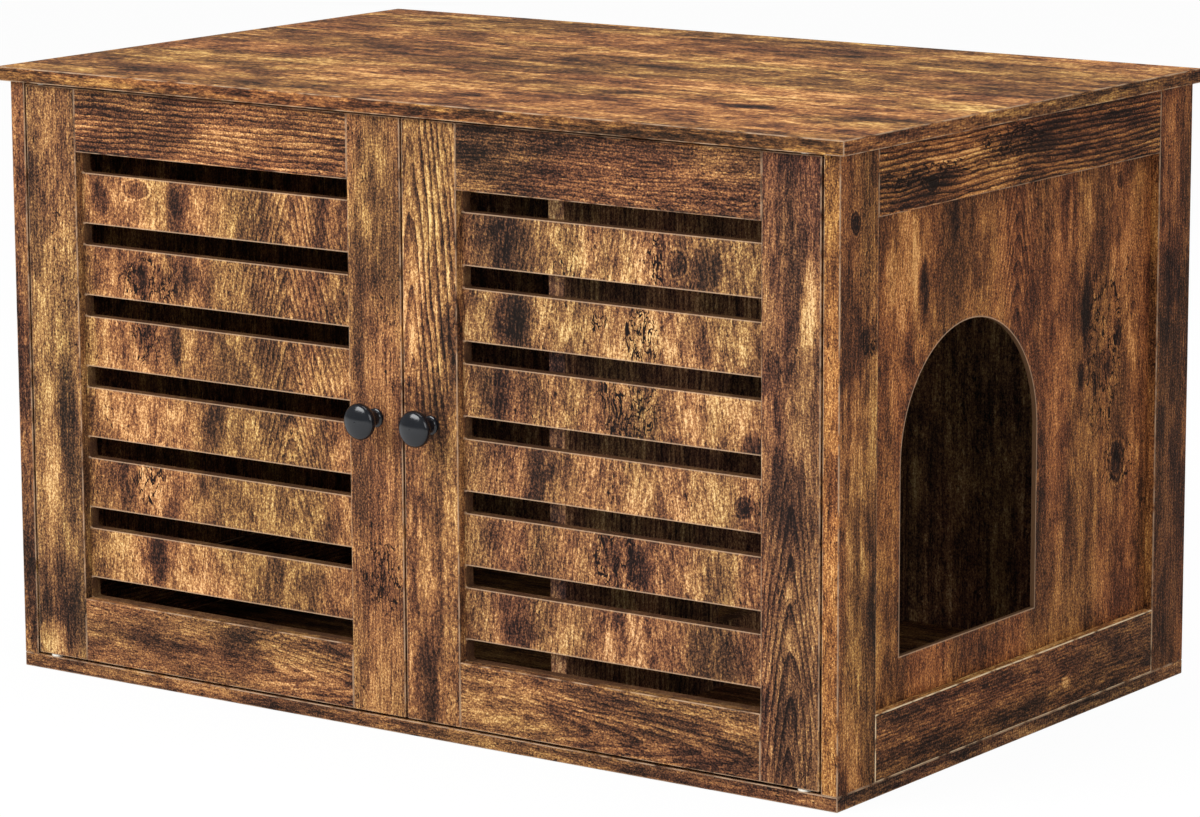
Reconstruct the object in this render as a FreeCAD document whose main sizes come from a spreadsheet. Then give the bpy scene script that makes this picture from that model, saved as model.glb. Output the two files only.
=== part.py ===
import FreeCAD, Part
import math
import os
import re
import Sketcher

# Cat litter box cabinet: a flat-pack box of printed boards with two framed, slotted doors at the front
# and an arched entrance in the right side. Millimetres, +Z up, the front faces -Y.
# The origin is the centre of the base board's underside.

Vector = FreeCAD.Vector
Rotation = FreeCAD.Rotation

doc = FreeCAD.newDocument("litter_box_cabinet")
sizes = doc.addObject("Spreadsheet::Sheet", "sizes")

DRIVING_SIZES = [
    # carcass
    ("carcass_width", 834),
    ("carcass_depth", 542),
    ("cabinet_height", 520),
    ("side_overhang", 8),
    ("front_overhang", 8),
    ("top_thickness", 12),
    ("base_thickness", 12),
    ("board_edge_radius", 0.8),
    # side frames: two posts and two rails round a thin panel
    ("post_width", 54),
    ("post_thickness", 15),
    ("side_rail_height", 54),
    ("panel_recess", 8),
    ("panel_thickness", 4),
    ("groove_depth", 6),
    ("groove_clearance", 0.15),
    # arched entrance in the right panel
    ("entrance_width", 206),
    ("entrance_height", 253),
    ("entrance_sill", 102),
    ("entrance_setback", 203),
    # back panel, held in grooves round its four edges
    ("back_thickness", 4),
    ("back_inset", 6),
    ("back_side_groove", 6),
    ("back_end_groove", 4),
    # divider between the entrance hall and the litter room, with its own arched passage
    ("divider_thickness", 15),
    ("divider_offset", 139),
    ("divider_clearance", 0.2),
    ("divider_door_gap", 2),
    ("passage_width", 206),
    ("passage_height", 253),
    ("passage_sill", 66),
    ("passage_setback", 339),
    # doors
    ("door_gap", 2),
    ("door_thickness", 18),
    ("stile_width", 54),
    ("door_rail_height", 54),
    ("door_panel_recess", 8),
    ("rebate_width", 9),
    ("rebate_clearance", 0.2),
    ("slot_count", 7),
    ("slot_height", 18),
    ("slot_end_inset", 1),
    ("slot_corner_radius", 3),
    # door pivots: a steel pin in a plastic bush at each end of the hinge stile
    ("pivot_setback", 16),
    ("pivot_depth", 7),
    ("pin_diameter", 5),
    ("pin_in_door", 24),
    ("pin_in_bush", 6.5),
    ("pin_clearance", 0.06),
    ("bush_diameter", 8),
    ("bush_depth", 7.5),
    ("bush_flange_diameter", 13),
    ("pivot_play", 0.3),
    # knobs
    ("knob_diameter", 30),
    ("knob_projection", 28),
    ("knob_widest", 21.1),
    ("knob_rim_radius", 4.6),
    ("knob_tuck_angle", 50),
    ("knob_belly", 0.8),
    ("knob_neck_diameter", 11),
    ("knob_neck_length", 12),
    ("knob_waist", 0.6),
    ("knob_rose_diameter", 15.5),
    ("knob_rose_depth", 3),
    ("knob_rose_edge", 1),
    ("knob_rose_cove", 0.4),
    ("knob_screw_diameter", 4),
    ("knob_screw_grip", 12),
    ("knob_screw_hole", 4.6),
    ("knob_screw_head", 9),
    ("knob_screw_head_top", 5.4),
    ("knob_screw_head_height", 2.4),
    ("knob_screw_slot_width", 1),
    ("knob_screw_slot_depth", 1.2),
    # magnetic catches under the top board
    ("catch_width", 46),
    ("catch_depth", 14),
    ("catch_height", 15),
    ("catch_wall", 3),
    ("pole_thickness", 1.2),
    ("pole_proud", 1),
    ("catch_ear", 7),
    ("strike_gap", 0.3),
    ("strike_width", 30),
    ("strike_height", 12),
    ("strike_thickness", 1),
    # dowels, cam locks and screws
    ("dowel_diameter", 6),
    ("dowel_length", 30),
    ("dowel_pitch", 24),
    ("hole_clearance", 0.1),
    ("top_dowel_reach", 8),
    ("top_dowel_inset", 150),
    ("cam_diameter", 15),
    ("cam_depth", 12),
    ("cam_drop", 24),
    ("cam_clearance", 0.15),
    ("cam_slot", 1.6),
    ("cam_slot_length", 9),
    ("bolt_shank_diameter", 5),
    ("bolt_thread_diameter", 6),
    ("bolt_thread_length", 9),
    ("bolt_head_diameter", 7),
    ("bolt_head_length", 3),
    ("base_screw_diameter", 5),
    ("base_screw_length", 49),
    ("base_screw_head", 10),
    ("base_screw_sink", 0.5),
    ("divider_fixing_inset", 62),
    ("small_screw_diameter", 3),
    ("small_screw_head", 6),
    ("small_screw_head_height", 1.8),
    ("catch_screw_length", 11),
    ("panel_screw_length", 15),
    ("strike_screw_length", 14),
]
for row, (alias, number) in enumerate(DRIVING_SIZES, start=1):
    sizes.set(f"A{row}", alias)
    sizes.set(f"B{row}", str(number))
    sizes.setAlias(f"B{row}", alias)
doc.recompute()

ALIASES = {alias for alias, number in DRIVING_SIZES}
sub_parts = []


def sized(text):
    """Turns the plain names in a formula into references to the sheet."""

    def reference(word):
        return f"sizes.{word[0]}" if word[0] in ALIASES else word[0]

    return re.sub(r"[a-z_]+", reference, str(text))


def value(text):
    """The number that a formula gives."""
    return float(sizes.evalExpression(sized(text)))


def bind(item, **formulas):
    """Ties properties of an object to formulas."""
    for key, formula in formulas.items():
        item.setExpression(key, sized(formula))


def place(item, x, y, z):
    """Ties an object's position to formulas."""
    for axis, formula in zip("xyz", (x, y, z)):
        item.setExpression(f"Placement.Base.{axis}", sized(formula))


def block(name, size, centre):
    """A box of the given size about a centre."""
    item = doc.addObject("Part::Box", name)
    bind(item, Length=size[0], Width=size[1], Height=size[2])
    place(item, *(f"({mid}) - ({side}) / 2" for mid, side in zip(centre, size)))
    return item


TURNS = {
    "+X": Rotation(Vector(0, 1, 0), 90),
    "-X": Rotation(Vector(0, 1, 0), -90),
    "+Y": Rotation(Vector(1, 0, 0), -90),
    "-Y": Rotation(Vector(1, 0, 0), 90),
    "+Z": Rotation(),
    "-Z": Rotation(Vector(1, 0, 0), 180),
}


def rod(name, diameter, length, start, way):
    """A cylinder that starts at a point and runs along an axis direction such as +X."""
    item = doc.addObject("Part::Cylinder", name)
    bind(item, Radius=f"({diameter}) / 2", Height=length)
    item.Placement.Rotation = TURNS[way]
    place(item, *start)
    return item


def cone(name, wide, narrow, length, start, way):
    """A cone between two diameters."""
    item = doc.addObject("Part::Cone", name)
    bind(item, Radius1=f"({wide}) / 2", Radius2=f"({narrow}) / 2", Height=length)
    item.Placement.Rotation = TURNS[way]
    place(item, *start)
    return item


def joined(name, pieces):
    """Several solids made one."""
    if len(pieces) == 1:
        return pieces[0]
    item = doc.addObject("Part::MultiFuse", name)
    item.Shapes = pieces
    return item


def cut(name, body, tools):
    """A solid with holes and grooves taken out of it."""
    item = doc.addObject("Part::Cut", name)
    item.Base = body
    item.Tool = joined(name + "_tools", tools)
    return item


def rounded(name, body):
    """A board with all its edges broken by the board radius."""
    doc.recompute()
    radius = value("board_edge_radius")
    item = doc.addObject("Part::Fillet", name)
    item.Base = body
    item.Edges = [(number, radius, radius) for number in range(1, len(body.Shape.Edges) + 1)]
    return item


def finish(label, item):
    """Names a finished sub-part."""
    item.Label = label
    sub_parts.append(item)
    return item


def group(label, pieces):
    """Like fasteners kept as one group of separate solids."""
    item = doc.addObject("Part::Compound", label + "_group")
    item.Links = pieces
    return finish(label, item)


def board(label, size, centre, tools=()):
    """A rounded board with its holes and grooves."""
    name = label + "_board"
    shaped = rounded(name + "_rounded", block(name + "_blank", size, centre))
    return finish(label, cut(name, shaped, list(tools)) if tools else shaped)


# ---- sketch helpers ---------------------------------------------------------------------------


def body_sketch(body, name, plane_role):
    """A sketch on one of a body's own origin planes."""
    plane = next(feature for feature in body.Origin.OriginFeatures if feature.Role == plane_role)
    sketch = body.newObject("Sketcher::SketchObject", name)
    sketch.AttachmentSupport = [(plane, "")]
    sketch.MapMode = "FlatFace"
    return sketch


def dimension(sketch, name, kind, *where_and_formula):
    """A named dimension that follows a formula."""
    *where, formula = where_and_formula
    index = sketch.addConstraint(Sketcher.Constraint(kind, *where, value(formula)))
    sketch.renameConstraint(index, name)
    sketch.setExpression(f"Constraints.{name}", sized(formula))


def draw_rectangle(sketch, name, left, bottom, width, height):
    """A rectangle placed from the sketch's origin."""
    x, y, w, h = value(left), value(bottom), value(width), value(height)
    corners = [Vector(x, y, 0), Vector(x + w, y, 0), Vector(x + w, y + h, 0), Vector(x, y + h, 0)]
    first = sketch.GeometryCount
    for k in range(4):
        sketch.addGeometry(Part.LineSegment(corners[k], corners[(k + 1) % 4]), False)
    for k in range(4):
        sketch.addConstraint(Sketcher.Constraint("Coincident", first + k, 2, first + (k + 1) % 4, 1))
    for k, kind in enumerate(("Horizontal", "Vertical", "Horizontal", "Vertical")):
        sketch.addConstraint(Sketcher.Constraint(kind, first + k))
    if x == 0 and y == 0:
        sketch.addConstraint(Sketcher.Constraint("Coincident", first, 1, -1, 1))
    else:
        dimension(sketch, name + "_left", "DistanceX", -1, 1, first, 1, left)
        dimension(sketch, name + "_bottom", "DistanceY", -1, 1, first, 1, bottom)
    dimension(sketch, name + "_width", "DistanceX", first, 1, first, 2, width)
    dimension(sketch, name + "_height", "DistanceY", first + 1, 1, first + 1, 2, height)


def draw_arch(sketch, name, middle, sill, width, height):
    """A doorway with a flat sill, straight jambs and a half-round head."""
    x, y, w, h = value(middle), value(sill), value(width), value(height)
    r = w / 2
    spring = y + h - r
    first = sketch.GeometryCount
    sketch.addGeometry(Part.LineSegment(Vector(x - r, y, 0), Vector(x + r, y, 0)), False)
    sketch.addGeometry(Part.LineSegment(Vector(x + r, y, 0), Vector(x + r, spring, 0)), False)
    head = Part.Circle(Vector(x, spring, 0), Vector(0, 0, 1), r)
    sketch.addGeometry(Part.ArcOfCircle(head, 0, math.pi), False)
    sketch.addGeometry(Part.LineSegment(Vector(x - r, spring, 0), Vector(x - r, y, 0)), False)
    for one, two in (((0, 2), (1, 1)), ((3, 2), (0, 1))):
        join = Sketcher.Constraint("Coincident", first + one[0], one[1], first + two[0], two[1])
        sketch.addConstraint(join)
    sketch.addConstraint(Sketcher.Constraint("Tangent", first + 1, 2, first + 2, 1))
    sketch.addConstraint(Sketcher.Constraint("Tangent", first + 2, 2, first + 3, 1))
    sketch.addConstraint(Sketcher.Constraint("Horizontal", first))
    sketch.addConstraint(Sketcher.Constraint("Vertical", first + 1))
    sketch.addConstraint(Sketcher.Constraint("Vertical", first + 3))
    dimension(sketch, name + "_width", "DistanceX", first, 1, first, 2, width)
    dimension(sketch, name + "_near", "DistanceX", -1, 1, first, 1, f"({middle}) - ({width}) / 2")
    dimension(sketch, name + "_sill", "DistanceY", -1, 1, first, 1, sill)
    dimension(sketch, name + "_jamb", "DistanceY", first + 1, 1, first + 1, 2, f"({height}) - ({width}) / 2")


def draw_outline(sketch, points, bulges):
    """A run of lines and shallow arcs between dimensioned points, from the sketch's origin.

    A bulge is how far an arc stands off its chord: positive to the right of the way along it, negative to
    the left, and None for a line. Returns the last piece and its end that lies on the last point.
    """
    corners = [Vector(value(x), value(y), 0) for x, y in points]
    previous, end = -1, 1
    for number, bulge in enumerate(bulges):
        first, second = corners[number], corners[number + 1]
        if bulge is None:
            piece = sketch.addGeometry(Part.LineSegment(first, second), False)
            ends = (1, 2)
        else:
            stand = value(bulge)
            along = second - first
            right = Vector(along.y, -along.x, 0).normalize()
            middle = (first + second) / 2 + right * stand
            arc = Part.Arc(first, middle, second) if stand > 0 else Part.Arc(second, middle, first)
            piece = sketch.addGeometry(arc, False)
            ends = (1, 2) if stand > 0 else (2, 1)
            (x1, y1), (x2, y2) = points[number], points[number + 1]
            chord_squared = f"(({x2} - ({x1}))^2 + ({y2} - ({y1}))^2)"
            radius = f"{chord_squared} / (8 * abs({bulge})) + abs({bulge}) / 2"
            dimension(sketch, f"radius_{number}", "Radius", piece, radius)
        sketch.addConstraint(Sketcher.Constraint("Coincident", previous, end, piece, ends[0]))
        previous, end = piece, ends[1]
        x, y = points[number + 1]
        dimension(sketch, f"across_{number}", "DistanceX", -1, 1, piece, end, x)
        if value(y) == 0:
            sketch.addConstraint(Sketcher.Constraint("PointOnObject", piece, end, -1))
        else:
            dimension(sketch, f"up_{number}", "DistanceY", -1, 1, piece, end, y)
    return previous, end


def pad(body, sketch, name, length, reverse=False):
    item = body.newObject("PartDesign::Pad", name)
    item.Profile = sketch
    item.Type = "Length"
    bind(item, Length=length)
    item.Reversed = reverse
    return item


def checked_volume(feature, before, what):
    """A pocket that cuts nothing shows no error, so its volume is compared."""
    doc.recompute()
    if not feature.Shape.Volume < before - 1:
        raise RuntimeError(f"{what} removed no material")


# ---- places worked out from the driving sizes ---------------------------------------------------

HALF_WIDTH = "(carcass_width / 2)"
FRONT = "(-carcass_depth / 2)"
REAR = "(carcass_depth / 2)"
FLOOR = "(base_thickness)"
CEILING = "(cabinet_height - top_thickness)"
ROOM_HEIGHT = f"({CEILING} - {FLOOR})"
ROOM_MIDDLE = f"(({FLOOR} + {CEILING}) / 2)"
POST_MIDDLE = f"({HALF_WIDTH} - post_thickness / 2)"
FRONT_POST = f"({FRONT} + post_width / 2)"
BACK_POST = f"({REAR} - post_width / 2)"
SIDE_RAIL_LENGTH = "(carcass_depth - 2 * post_width)"
BOTTOM_RAIL = f"({FLOOR} + side_rail_height / 2)"
TOP_RAIL = f"({CEILING} - side_rail_height / 2)"
PANEL_MIDDLE = f"({HALF_WIDTH} - panel_recess - panel_thickness / 2)"
GROOVE_WIDTH = "(panel_thickness + 2 * groove_clearance)"
PANEL_BOTTOM = f"({FLOOR} + side_rail_height - groove_depth + groove_clearance)"
PANEL_TOP = f"({CEILING} - side_rail_height + groove_depth - groove_clearance)"
PANEL_FRONT = f"({FRONT} + post_width - groove_depth + groove_clearance)"
PANEL_LENGTH = "(carcass_depth - 2 * post_width + 2 * groove_depth - 2 * groove_clearance)"
PANEL_HEIGHT = f"({PANEL_TOP} - {PANEL_BOTTOM})"
BACK_MIDDLE = f"({REAR} - back_inset - back_thickness / 2)"
BACK_FACE = f"({REAR} - back_inset - back_thickness)"
BACK_GROOVE_WIDTH = "(back_thickness + 2 * groove_clearance)"
DIVIDER_FRONT = f"({FRONT} + door_thickness + divider_door_gap)"
DIVIDER_REAR = f"({BACK_FACE} - divider_clearance)"
DIVIDER_FIXINGS = (
    f"({DIVIDER_FRONT} + divider_fixing_inset)",
    f"({DIVIDER_REAR} - divider_fixing_inset)",
)
RAIL_DOWELS = (f"({FRONT} + top_dowel_inset)", f"({REAR} - top_dowel_inset)")
DOWEL_HOLE = "(dowel_diameter + 2 * hole_clearance)"
PIN_HOLE = "(pin_diameter + 2 * hole_clearance)"
SMALL_HOLE = "(small_screw_diameter + 2 * hole_clearance)"
BASE_SCREW_HOLE = "(base_screw_diameter + 2 * hole_clearance)"
BASE_SCREW_DEPTH = "(base_screw_length - base_thickness + hole_clearance)"
DOWEL_STEPS = ("(-dowel_pitch / 2)", "(dowel_pitch / 2)")
CAM_HEIGHT = f"({CEILING} - cam_drop)"
SIDES = (("left", -1), ("right", 1))

# Door places. A door's own direction runs from its hinge edge (0) towards the meeting edge.
DOOR_WIDTH = "((carcass_width - 2 * post_thickness - 3 * door_gap) / 2)"
DOOR_BOTTOM = f"({FLOOR} + door_gap)"
DOOR_HEIGHT = f"({ROOM_HEIGHT} - 2 * door_gap)"
DOOR_TOP = f"({DOOR_BOTTOM} + {DOOR_HEIGHT})"
DOOR_MIDDLE = f"({DOOR_BOTTOM} + {DOOR_HEIGHT} / 2)"
DOOR_BACK = f"({FRONT} + door_thickness)"
HINGE_EDGE = f"({HALF_WIDTH} - post_thickness - door_gap)"
OPENING_WIDTH = f"({DOOR_WIDTH} - 2 * stile_width)"
OPENING_HEIGHT = f"({DOOR_HEIGHT} - 2 * door_rail_height)"
OPENING_BOTTOM = f"({DOOR_BOTTOM} + door_rail_height)"
SLAT_THICKNESS = "(door_thickness - door_panel_recess)"
SLAT_HEIGHT = f"(({OPENING_HEIGHT} - slot_count * slot_height) / (slot_count - 1))"
SLOT_PITCH = f"(slot_height + {SLAT_HEIGHT})"
PIVOT_LINE = f"({FRONT} + pivot_depth)"
PIVOT_X = f"({HINGE_EDGE} - pivot_setback)"
MEETING_STILE = f"({HINGE_EDGE} - {DOOR_WIDTH} + stile_width / 2)"
BUSH_HOLE = "(bush_diameter + 2 * hole_clearance)"
STRIKE_MIDDLE = f"({DOOR_TOP} - strike_height / 2)"


def cam_bolt_hole(name, x, y):
    """The bolt's hole in the end of an upright, down to its cam."""
    return rod(name, "bolt_head_diameter + 2 * cam_clearance", "cam_drop", (x, y, CEILING), "-Z")


def cam_hole(name, start, way):
    """The flat hole in the face of an upright that takes a cam disc."""
    return rod(name, "cam_diameter + 2 * cam_clearance", "cam_depth + cam_clearance", start, way)


# ---- top and base boards ------------------------------------------------------------------------


def fixing_points():
    """Where the uprights are bolted to the top and screwed to the base: posts, then the divider."""
    points = []
    for side, sign in SIDES:
        for end, y in (("front", FRONT_POST), ("back", BACK_POST)):
            points.append((f"{side}_{end}", f"{sign} * {POST_MIDDLE}", y))
    for end, y in zip(("front", "back"), DIVIDER_FIXINGS):
        points.append((f"divider_{end}", "divider_offset", y))
    return points


def top_dowel_points():
    points = []
    for side, sign in SIDES:
        for end, y in zip(("front", "back"), RAIL_DOWELS):
            points.append((f"{side}_{end}", f"{sign} * {POST_MIDDLE}", y))
    for end, sign, y in zip(("front", "back"), (1, -1), DIVIDER_FIXINGS):
        points.append((f"divider_{end}", "divider_offset", f"{y} + {sign} * dowel_pitch"))
    return points


def screw_points():
    points = fixing_points()
    for side, sign in SIDES:
        points.append((f"{side}_rail", f"{sign} * {POST_MIDDLE}", "0"))
    return points


def back_groove(name, z):
    """The groove that takes the back panel's upper or lower edge."""
    length = "carcass_width - 2 * post_thickness + 2 * back_side_groove"
    return block(name, (length, BACK_GROOVE_WIDTH, "2 * back_end_groove"), ("0", BACK_MIDDLE, z))


def bush_pockets(name, start, way):
    pockets = []
    for side, sign in SIDES:
        where = (f"{sign} * {PIVOT_X}", PIVOT_LINE, start)
        pockets.append(rod(f"{name}_{side}", BUSH_HOLE, "bush_depth + hole_clearance", where, way))
    return pockets


top_tools = [back_groove("top_back_groove", CEILING)]
top_tools += bush_pockets("top_bush_pocket", CEILING, "+Z")
for where, x, y in fixing_points():
    diameter = "bolt_thread_diameter + 2 * hole_clearance"
    depth = "bolt_thread_length + hole_clearance"
    top_tools.append(rod(f"bolt_pilot_{where}", diameter, depth, (x, y, CEILING), "+Z"))
for where, x, y in top_dowel_points():
    depth = "top_dowel_reach + hole_clearance"
    top_tools.append(rod(f"top_dowel_hole_{where}", DOWEL_HOLE, depth, (x, y, CEILING), "+Z"))
for side, sign in SIDES:
    for end, way in (("outer", 1), ("inner", -1)):
        x = f"{sign} * {MEETING_STILE} + {way} * (catch_width - catch_ear) / 2"
        y = f"{DOOR_BACK} + strike_thickness + strike_gap + pole_proud + catch_depth / 2"
        depth = "catch_screw_length - catch_wall + hole_clearance"
        top_tools.append(rod(f"catch_pilot_{side}_{end}", SMALL_HOLE, depth, (x, y, CEILING), "+Z"))
board(
    "top_board",
    ("carcass_width + 2 * side_overhang", "carcass_depth + front_overhang", "top_thickness"),
    ("0", "-front_overhang / 2", f"{CEILING} + top_thickness / 2"),
    top_tools,
)

base_tools = [back_groove("base_back_groove", FLOOR)]
base_tools += bush_pockets("base_bush_pocket", FLOOR, "-Z")
for where, x, y in screw_points():
    base_tools.append(rod(f"base_screw_hole_{where}", BASE_SCREW_HOLE, "base_thickness", (x, y, "0"), "+Z"))
    mouth = "base_screw_head + 2 * base_screw_sink + 2 * hole_clearance"
    depth = "(base_screw_head - base_screw_diameter) / 2 + base_screw_sink"
    base_tools.append(cone(f"base_screw_sink_{where}", mouth, BASE_SCREW_HOLE, depth, (x, y, "0"), "+Z"))
board(
    "bottom_board",
    ("carcass_width", "carcass_depth", "base_thickness"),
    ("0", "0", "base_thickness / 2"),
    base_tools,
)

# ---- side frames --------------------------------------------------------------------------------


def frame_dowel_points(sign):
    """Two dowels across each joint of a rail and a post: name, place and direction into the post."""
    points = []
    x = f"{sign} * {POST_MIDDLE}"
    for end, y, way in (
        ("front", f"{FRONT} + post_width", "-Y"),
        ("back", f"{REAR} - post_width", "+Y"),
    ):
        for rail, z in (("bottom", BOTTOM_RAIL), ("top", TOP_RAIL)):
            for number, step in enumerate(DOWEL_STEPS, start=1):
                points.append((f"{end}_{rail}_{number}", x, y, f"{z} + {step}", way))
    return points


def half_dowel_hole(name, x, y, z, way):
    depth = "dowel_length / 2 + hole_clearance"
    return rod(name, DOWEL_HOLE, depth, (x, y, z), way)


OPPOSITE = {"-Y": "+Y", "+Y": "-Y", "+X": "-X", "-X": "+X"}


def side_post(side, sign, end):
    """A post with its panel groove, dowel holes, cam and screw holes, and the back post's back groove."""
    label = f"{side}_{end}_post"
    y = FRONT_POST if end == "front" else BACK_POST
    inner = f"{FRONT} + post_width" if end == "front" else f"{REAR} - post_width"
    height = f"{PANEL_HEIGHT} + 2 * groove_clearance"
    middle = f"({PANEL_BOTTOM} + {PANEL_TOP}) / 2"
    groove_size = (GROOVE_WIDTH, "2 * groove_depth", height)
    tools = [block(f"{label}_groove", groove_size, (f"{sign} * {PANEL_MIDDLE}", inner, middle))]
    for name, x, face, z, way in frame_dowel_points(sign):
        if name.startswith(end):
            tools.append(half_dowel_hole(f"{label}_hole_{name}", x, face, z, way))
    x = f"{sign} * {POST_MIDDLE}"
    tools.append(cam_bolt_hole(f"{label}_bolt_hole", x, y))
    face = f"{sign} * ({HALF_WIDTH} - post_thickness)"
    tools.append(cam_hole(f"{label}_cam_hole", (face, y, CAM_HEIGHT), "+X" if sign > 0 else "-X"))
    tools.append(rod(f"{label}_pilot", BASE_SCREW_HOLE, BASE_SCREW_DEPTH, (x, y, FLOOR), "+Z"))
    if end == "back":
        groove_size = ("2 * back_side_groove", BACK_GROOVE_WIDTH, ROOM_HEIGHT)
        tools.append(block(f"{label}_back_groove", groove_size, (face, BACK_MIDDLE, ROOM_MIDDLE)))
    board(label, ("post_thickness", "post_width", ROOM_HEIGHT), (x, y, ROOM_MIDDLE), tools)


def side_rail(side, sign, level):
    """A rail between the posts, with the groove for the panel's edge."""
    label = f"{side}_{level}_rail"
    z = BOTTOM_RAIL if level == "bottom" else TOP_RAIL
    inner = f"{FLOOR} + side_rail_height" if level == "bottom" else f"{CEILING} - side_rail_height"
    x = f"{sign} * {POST_MIDDLE}"
    groove_size = (GROOVE_WIDTH, SIDE_RAIL_LENGTH, "2 * groove_depth")
    tools = [block(f"{label}_groove", groove_size, (f"{sign} * {PANEL_MIDDLE}", "0", inner))]
    for name, hole_x, face, hole_z, way in frame_dowel_points(sign):
        if f"_{level}_" in name:
            tools.append(half_dowel_hole(f"{label}_hole_{name}", hole_x, face, hole_z, OPPOSITE[way]))
    if level == "bottom":
        tools.append(rod(f"{label}_pilot", BASE_SCREW_HOLE, BASE_SCREW_DEPTH, (x, "0", FLOOR), "+Z"))
    else:
        for where, hole_x, y in top_dowel_points():
            if where.startswith(side):
                depth = "dowel_length - top_dowel_reach + hole_clearance"
                tools.append(rod(f"{label}_top_hole_{where}", DOWEL_HOLE, depth, (hole_x, y, CEILING), "-Z"))
    board(label, ("post_thickness", SIDE_RAIL_LENGTH, "side_rail_height"), (x, "0", z), tools)


for side, sign in SIDES:
    for end in ("front", "back"):
        side_post(side, sign, end)
    for level in ("bottom", "top"):
        side_rail(side, sign, level)

# The left panel is plain.
finish(
    "left_panel",
    block(
        "left_panel_sheet",
        ("panel_thickness", PANEL_LENGTH, PANEL_HEIGHT),
        (f"-{PANEL_MIDDLE}", "0", f"({PANEL_BOTTOM} + {PANEL_TOP}) / 2"),
    ),
)


def arched_sheet(label, thickness, length, height, middle, sill, width, rise, corner):
    """An upright sheet along Y with an arched doorway cut through it."""
    body = doc.addObject("PartDesign::Body", label + "_body")
    sketch = body_sketch(body, label + "_outline", "YZ_Plane")
    draw_rectangle(sketch, "sheet", "0", "0", length, height)
    draw_arch(sketch, "doorway", middle, sill, width, rise)
    doc.recompute()
    pad(body, sketch, label + "_pad", thickness)
    place(body, *corner)
    doc.recompute()
    return body


# The right panel holds the cat's entrance.
finish(
    "arch_panel",
    arched_sheet(
        "arch_panel",
        "panel_thickness",
        PANEL_LENGTH,
        PANEL_HEIGHT,
        f"{FRONT} + entrance_setback - {PANEL_FRONT}",
        f"entrance_sill - {PANEL_BOTTOM}",
        "entrance_width",
        "entrance_height",
        (f"{PANEL_MIDDLE} - panel_thickness / 2", PANEL_FRONT, PANEL_BOTTOM),
    ),
)

# ---- back panel and divider ---------------------------------------------------------------------

finish(
    "back_panel",
    block(
        "back_panel_sheet",
        (
            "carcass_width - 2 * post_thickness + 2 * back_side_groove - 2 * groove_clearance",
            "back_thickness",
            f"{ROOM_HEIGHT} + 2 * back_end_groove - 2 * groove_clearance",
        ),
        ("0", BACK_MIDDLE, ROOM_MIDDLE),
    ),
)

divider_blank = arched_sheet(
    "divider_blank",
    "divider_thickness",
    f"{DIVIDER_REAR} - {DIVIDER_FRONT}",
    ROOM_HEIGHT,
    f"{FRONT} + passage_setback - {DIVIDER_FRONT}",
    f"passage_sill - {FLOOR}",
    "passage_width",
    "passage_height",
    ("divider_offset - divider_thickness / 2", DIVIDER_FRONT, FLOOR),
)
divider_tools = []
for end, y in zip(("front", "back"), DIVIDER_FIXINGS):
    divider_tools.append(cam_bolt_hole(f"divider_bolt_hole_{end}", "divider_offset", y))
    start = ("divider_offset + divider_thickness / 2", y, CAM_HEIGHT)
    divider_tools.append(cam_hole(f"divider_cam_hole_{end}", start, "-X"))
    pilot = ("divider_offset", y, FLOOR)
    divider_tools.append(rod(f"divider_pilot_{end}", BASE_SCREW_HOLE, BASE_SCREW_DEPTH, pilot, "+Z"))
for where, x, y in top_dowel_points():
    if where.startswith("divider"):
        depth = "dowel_length - top_dowel_reach + hole_clearance"
        divider_tools.append(rod(f"divider_top_hole_{where}", DOWEL_HOLE, depth, (x, y, CEILING), "-Z"))
finish("divider", cut("divider_board", divider_blank, divider_tools))

# ---- carcass fasteners --------------------------------------------------------------------------


def frame_dowels():
    dowels = []
    for side, sign in SIDES:
        for name, x, y, z, way in frame_dowel_points(sign):
            start = f"{y} - dowel_length / 2"
            label = f"dowel_{side}_{name}"
            dowels.append(rod(label, "dowel_diameter", "dowel_length", (x, start, z), "+Y"))
    return dowels


def top_dowels():
    dowels = []
    for where, x, y in top_dowel_points():
        start = f"{CEILING} + top_dowel_reach - dowel_length"
        dowels.append(rod(f"top_dowel_{where}", "dowel_diameter", "dowel_length", (x, y, start), "+Z"))
    return dowels


def cam_lock(where, x, y):
    """A cam disc let into the upright's face, and the bolt that it draws down from the top board."""
    if where.startswith("left"):
        face, way = f"-({HALF_WIDTH} - post_thickness)", "-X"
    elif where.startswith("right"):
        face, way = f"({HALF_WIDTH} - post_thickness)", "+X"
    else:
        face, way = "divider_offset + divider_thickness / 2", "-X"
    disc = rod(f"cam_disc_{where}", "cam_diameter", "cam_depth", (face, y, CAM_HEIGHT), way)
    bolt_room = rod(
        f"cam_room_{where}",
        "bolt_head_diameter + 2 * cam_clearance",
        "cam_diameter",
        (x, y, f"{CAM_HEIGHT} - bolt_head_length"),
        "+Z",
    )
    centre = (face, y, CAM_HEIGHT)
    slots = [
        block(f"cam_slot_{where}_upright", ("2 * cam_slot", "cam_slot", "cam_slot_length"), centre),
        block(f"cam_slot_{where}_level", ("2 * cam_slot", "cam_slot_length", "cam_slot"), centre),
    ]
    cam = cut(f"cam_{where}", disc, [bolt_room] + slots)
    base = f"({CAM_HEIGHT} - bolt_head_length / 2)"
    start = (x, y, base)
    bolt = joined(
        f"bolt_{where}",
        [
            rod(f"bolt_head_{where}", "bolt_head_diameter", "bolt_head_length", start, "+Z"),
            rod(f"bolt_shank_{where}", "bolt_shank_diameter", f"{CEILING} - {base}", start, "+Z"),
            rod(f"bolt_thread_{where}", "bolt_thread_diameter", "bolt_thread_length", (x, y, CEILING), "+Z"),
        ],
    )
    return cam, bolt


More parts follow.
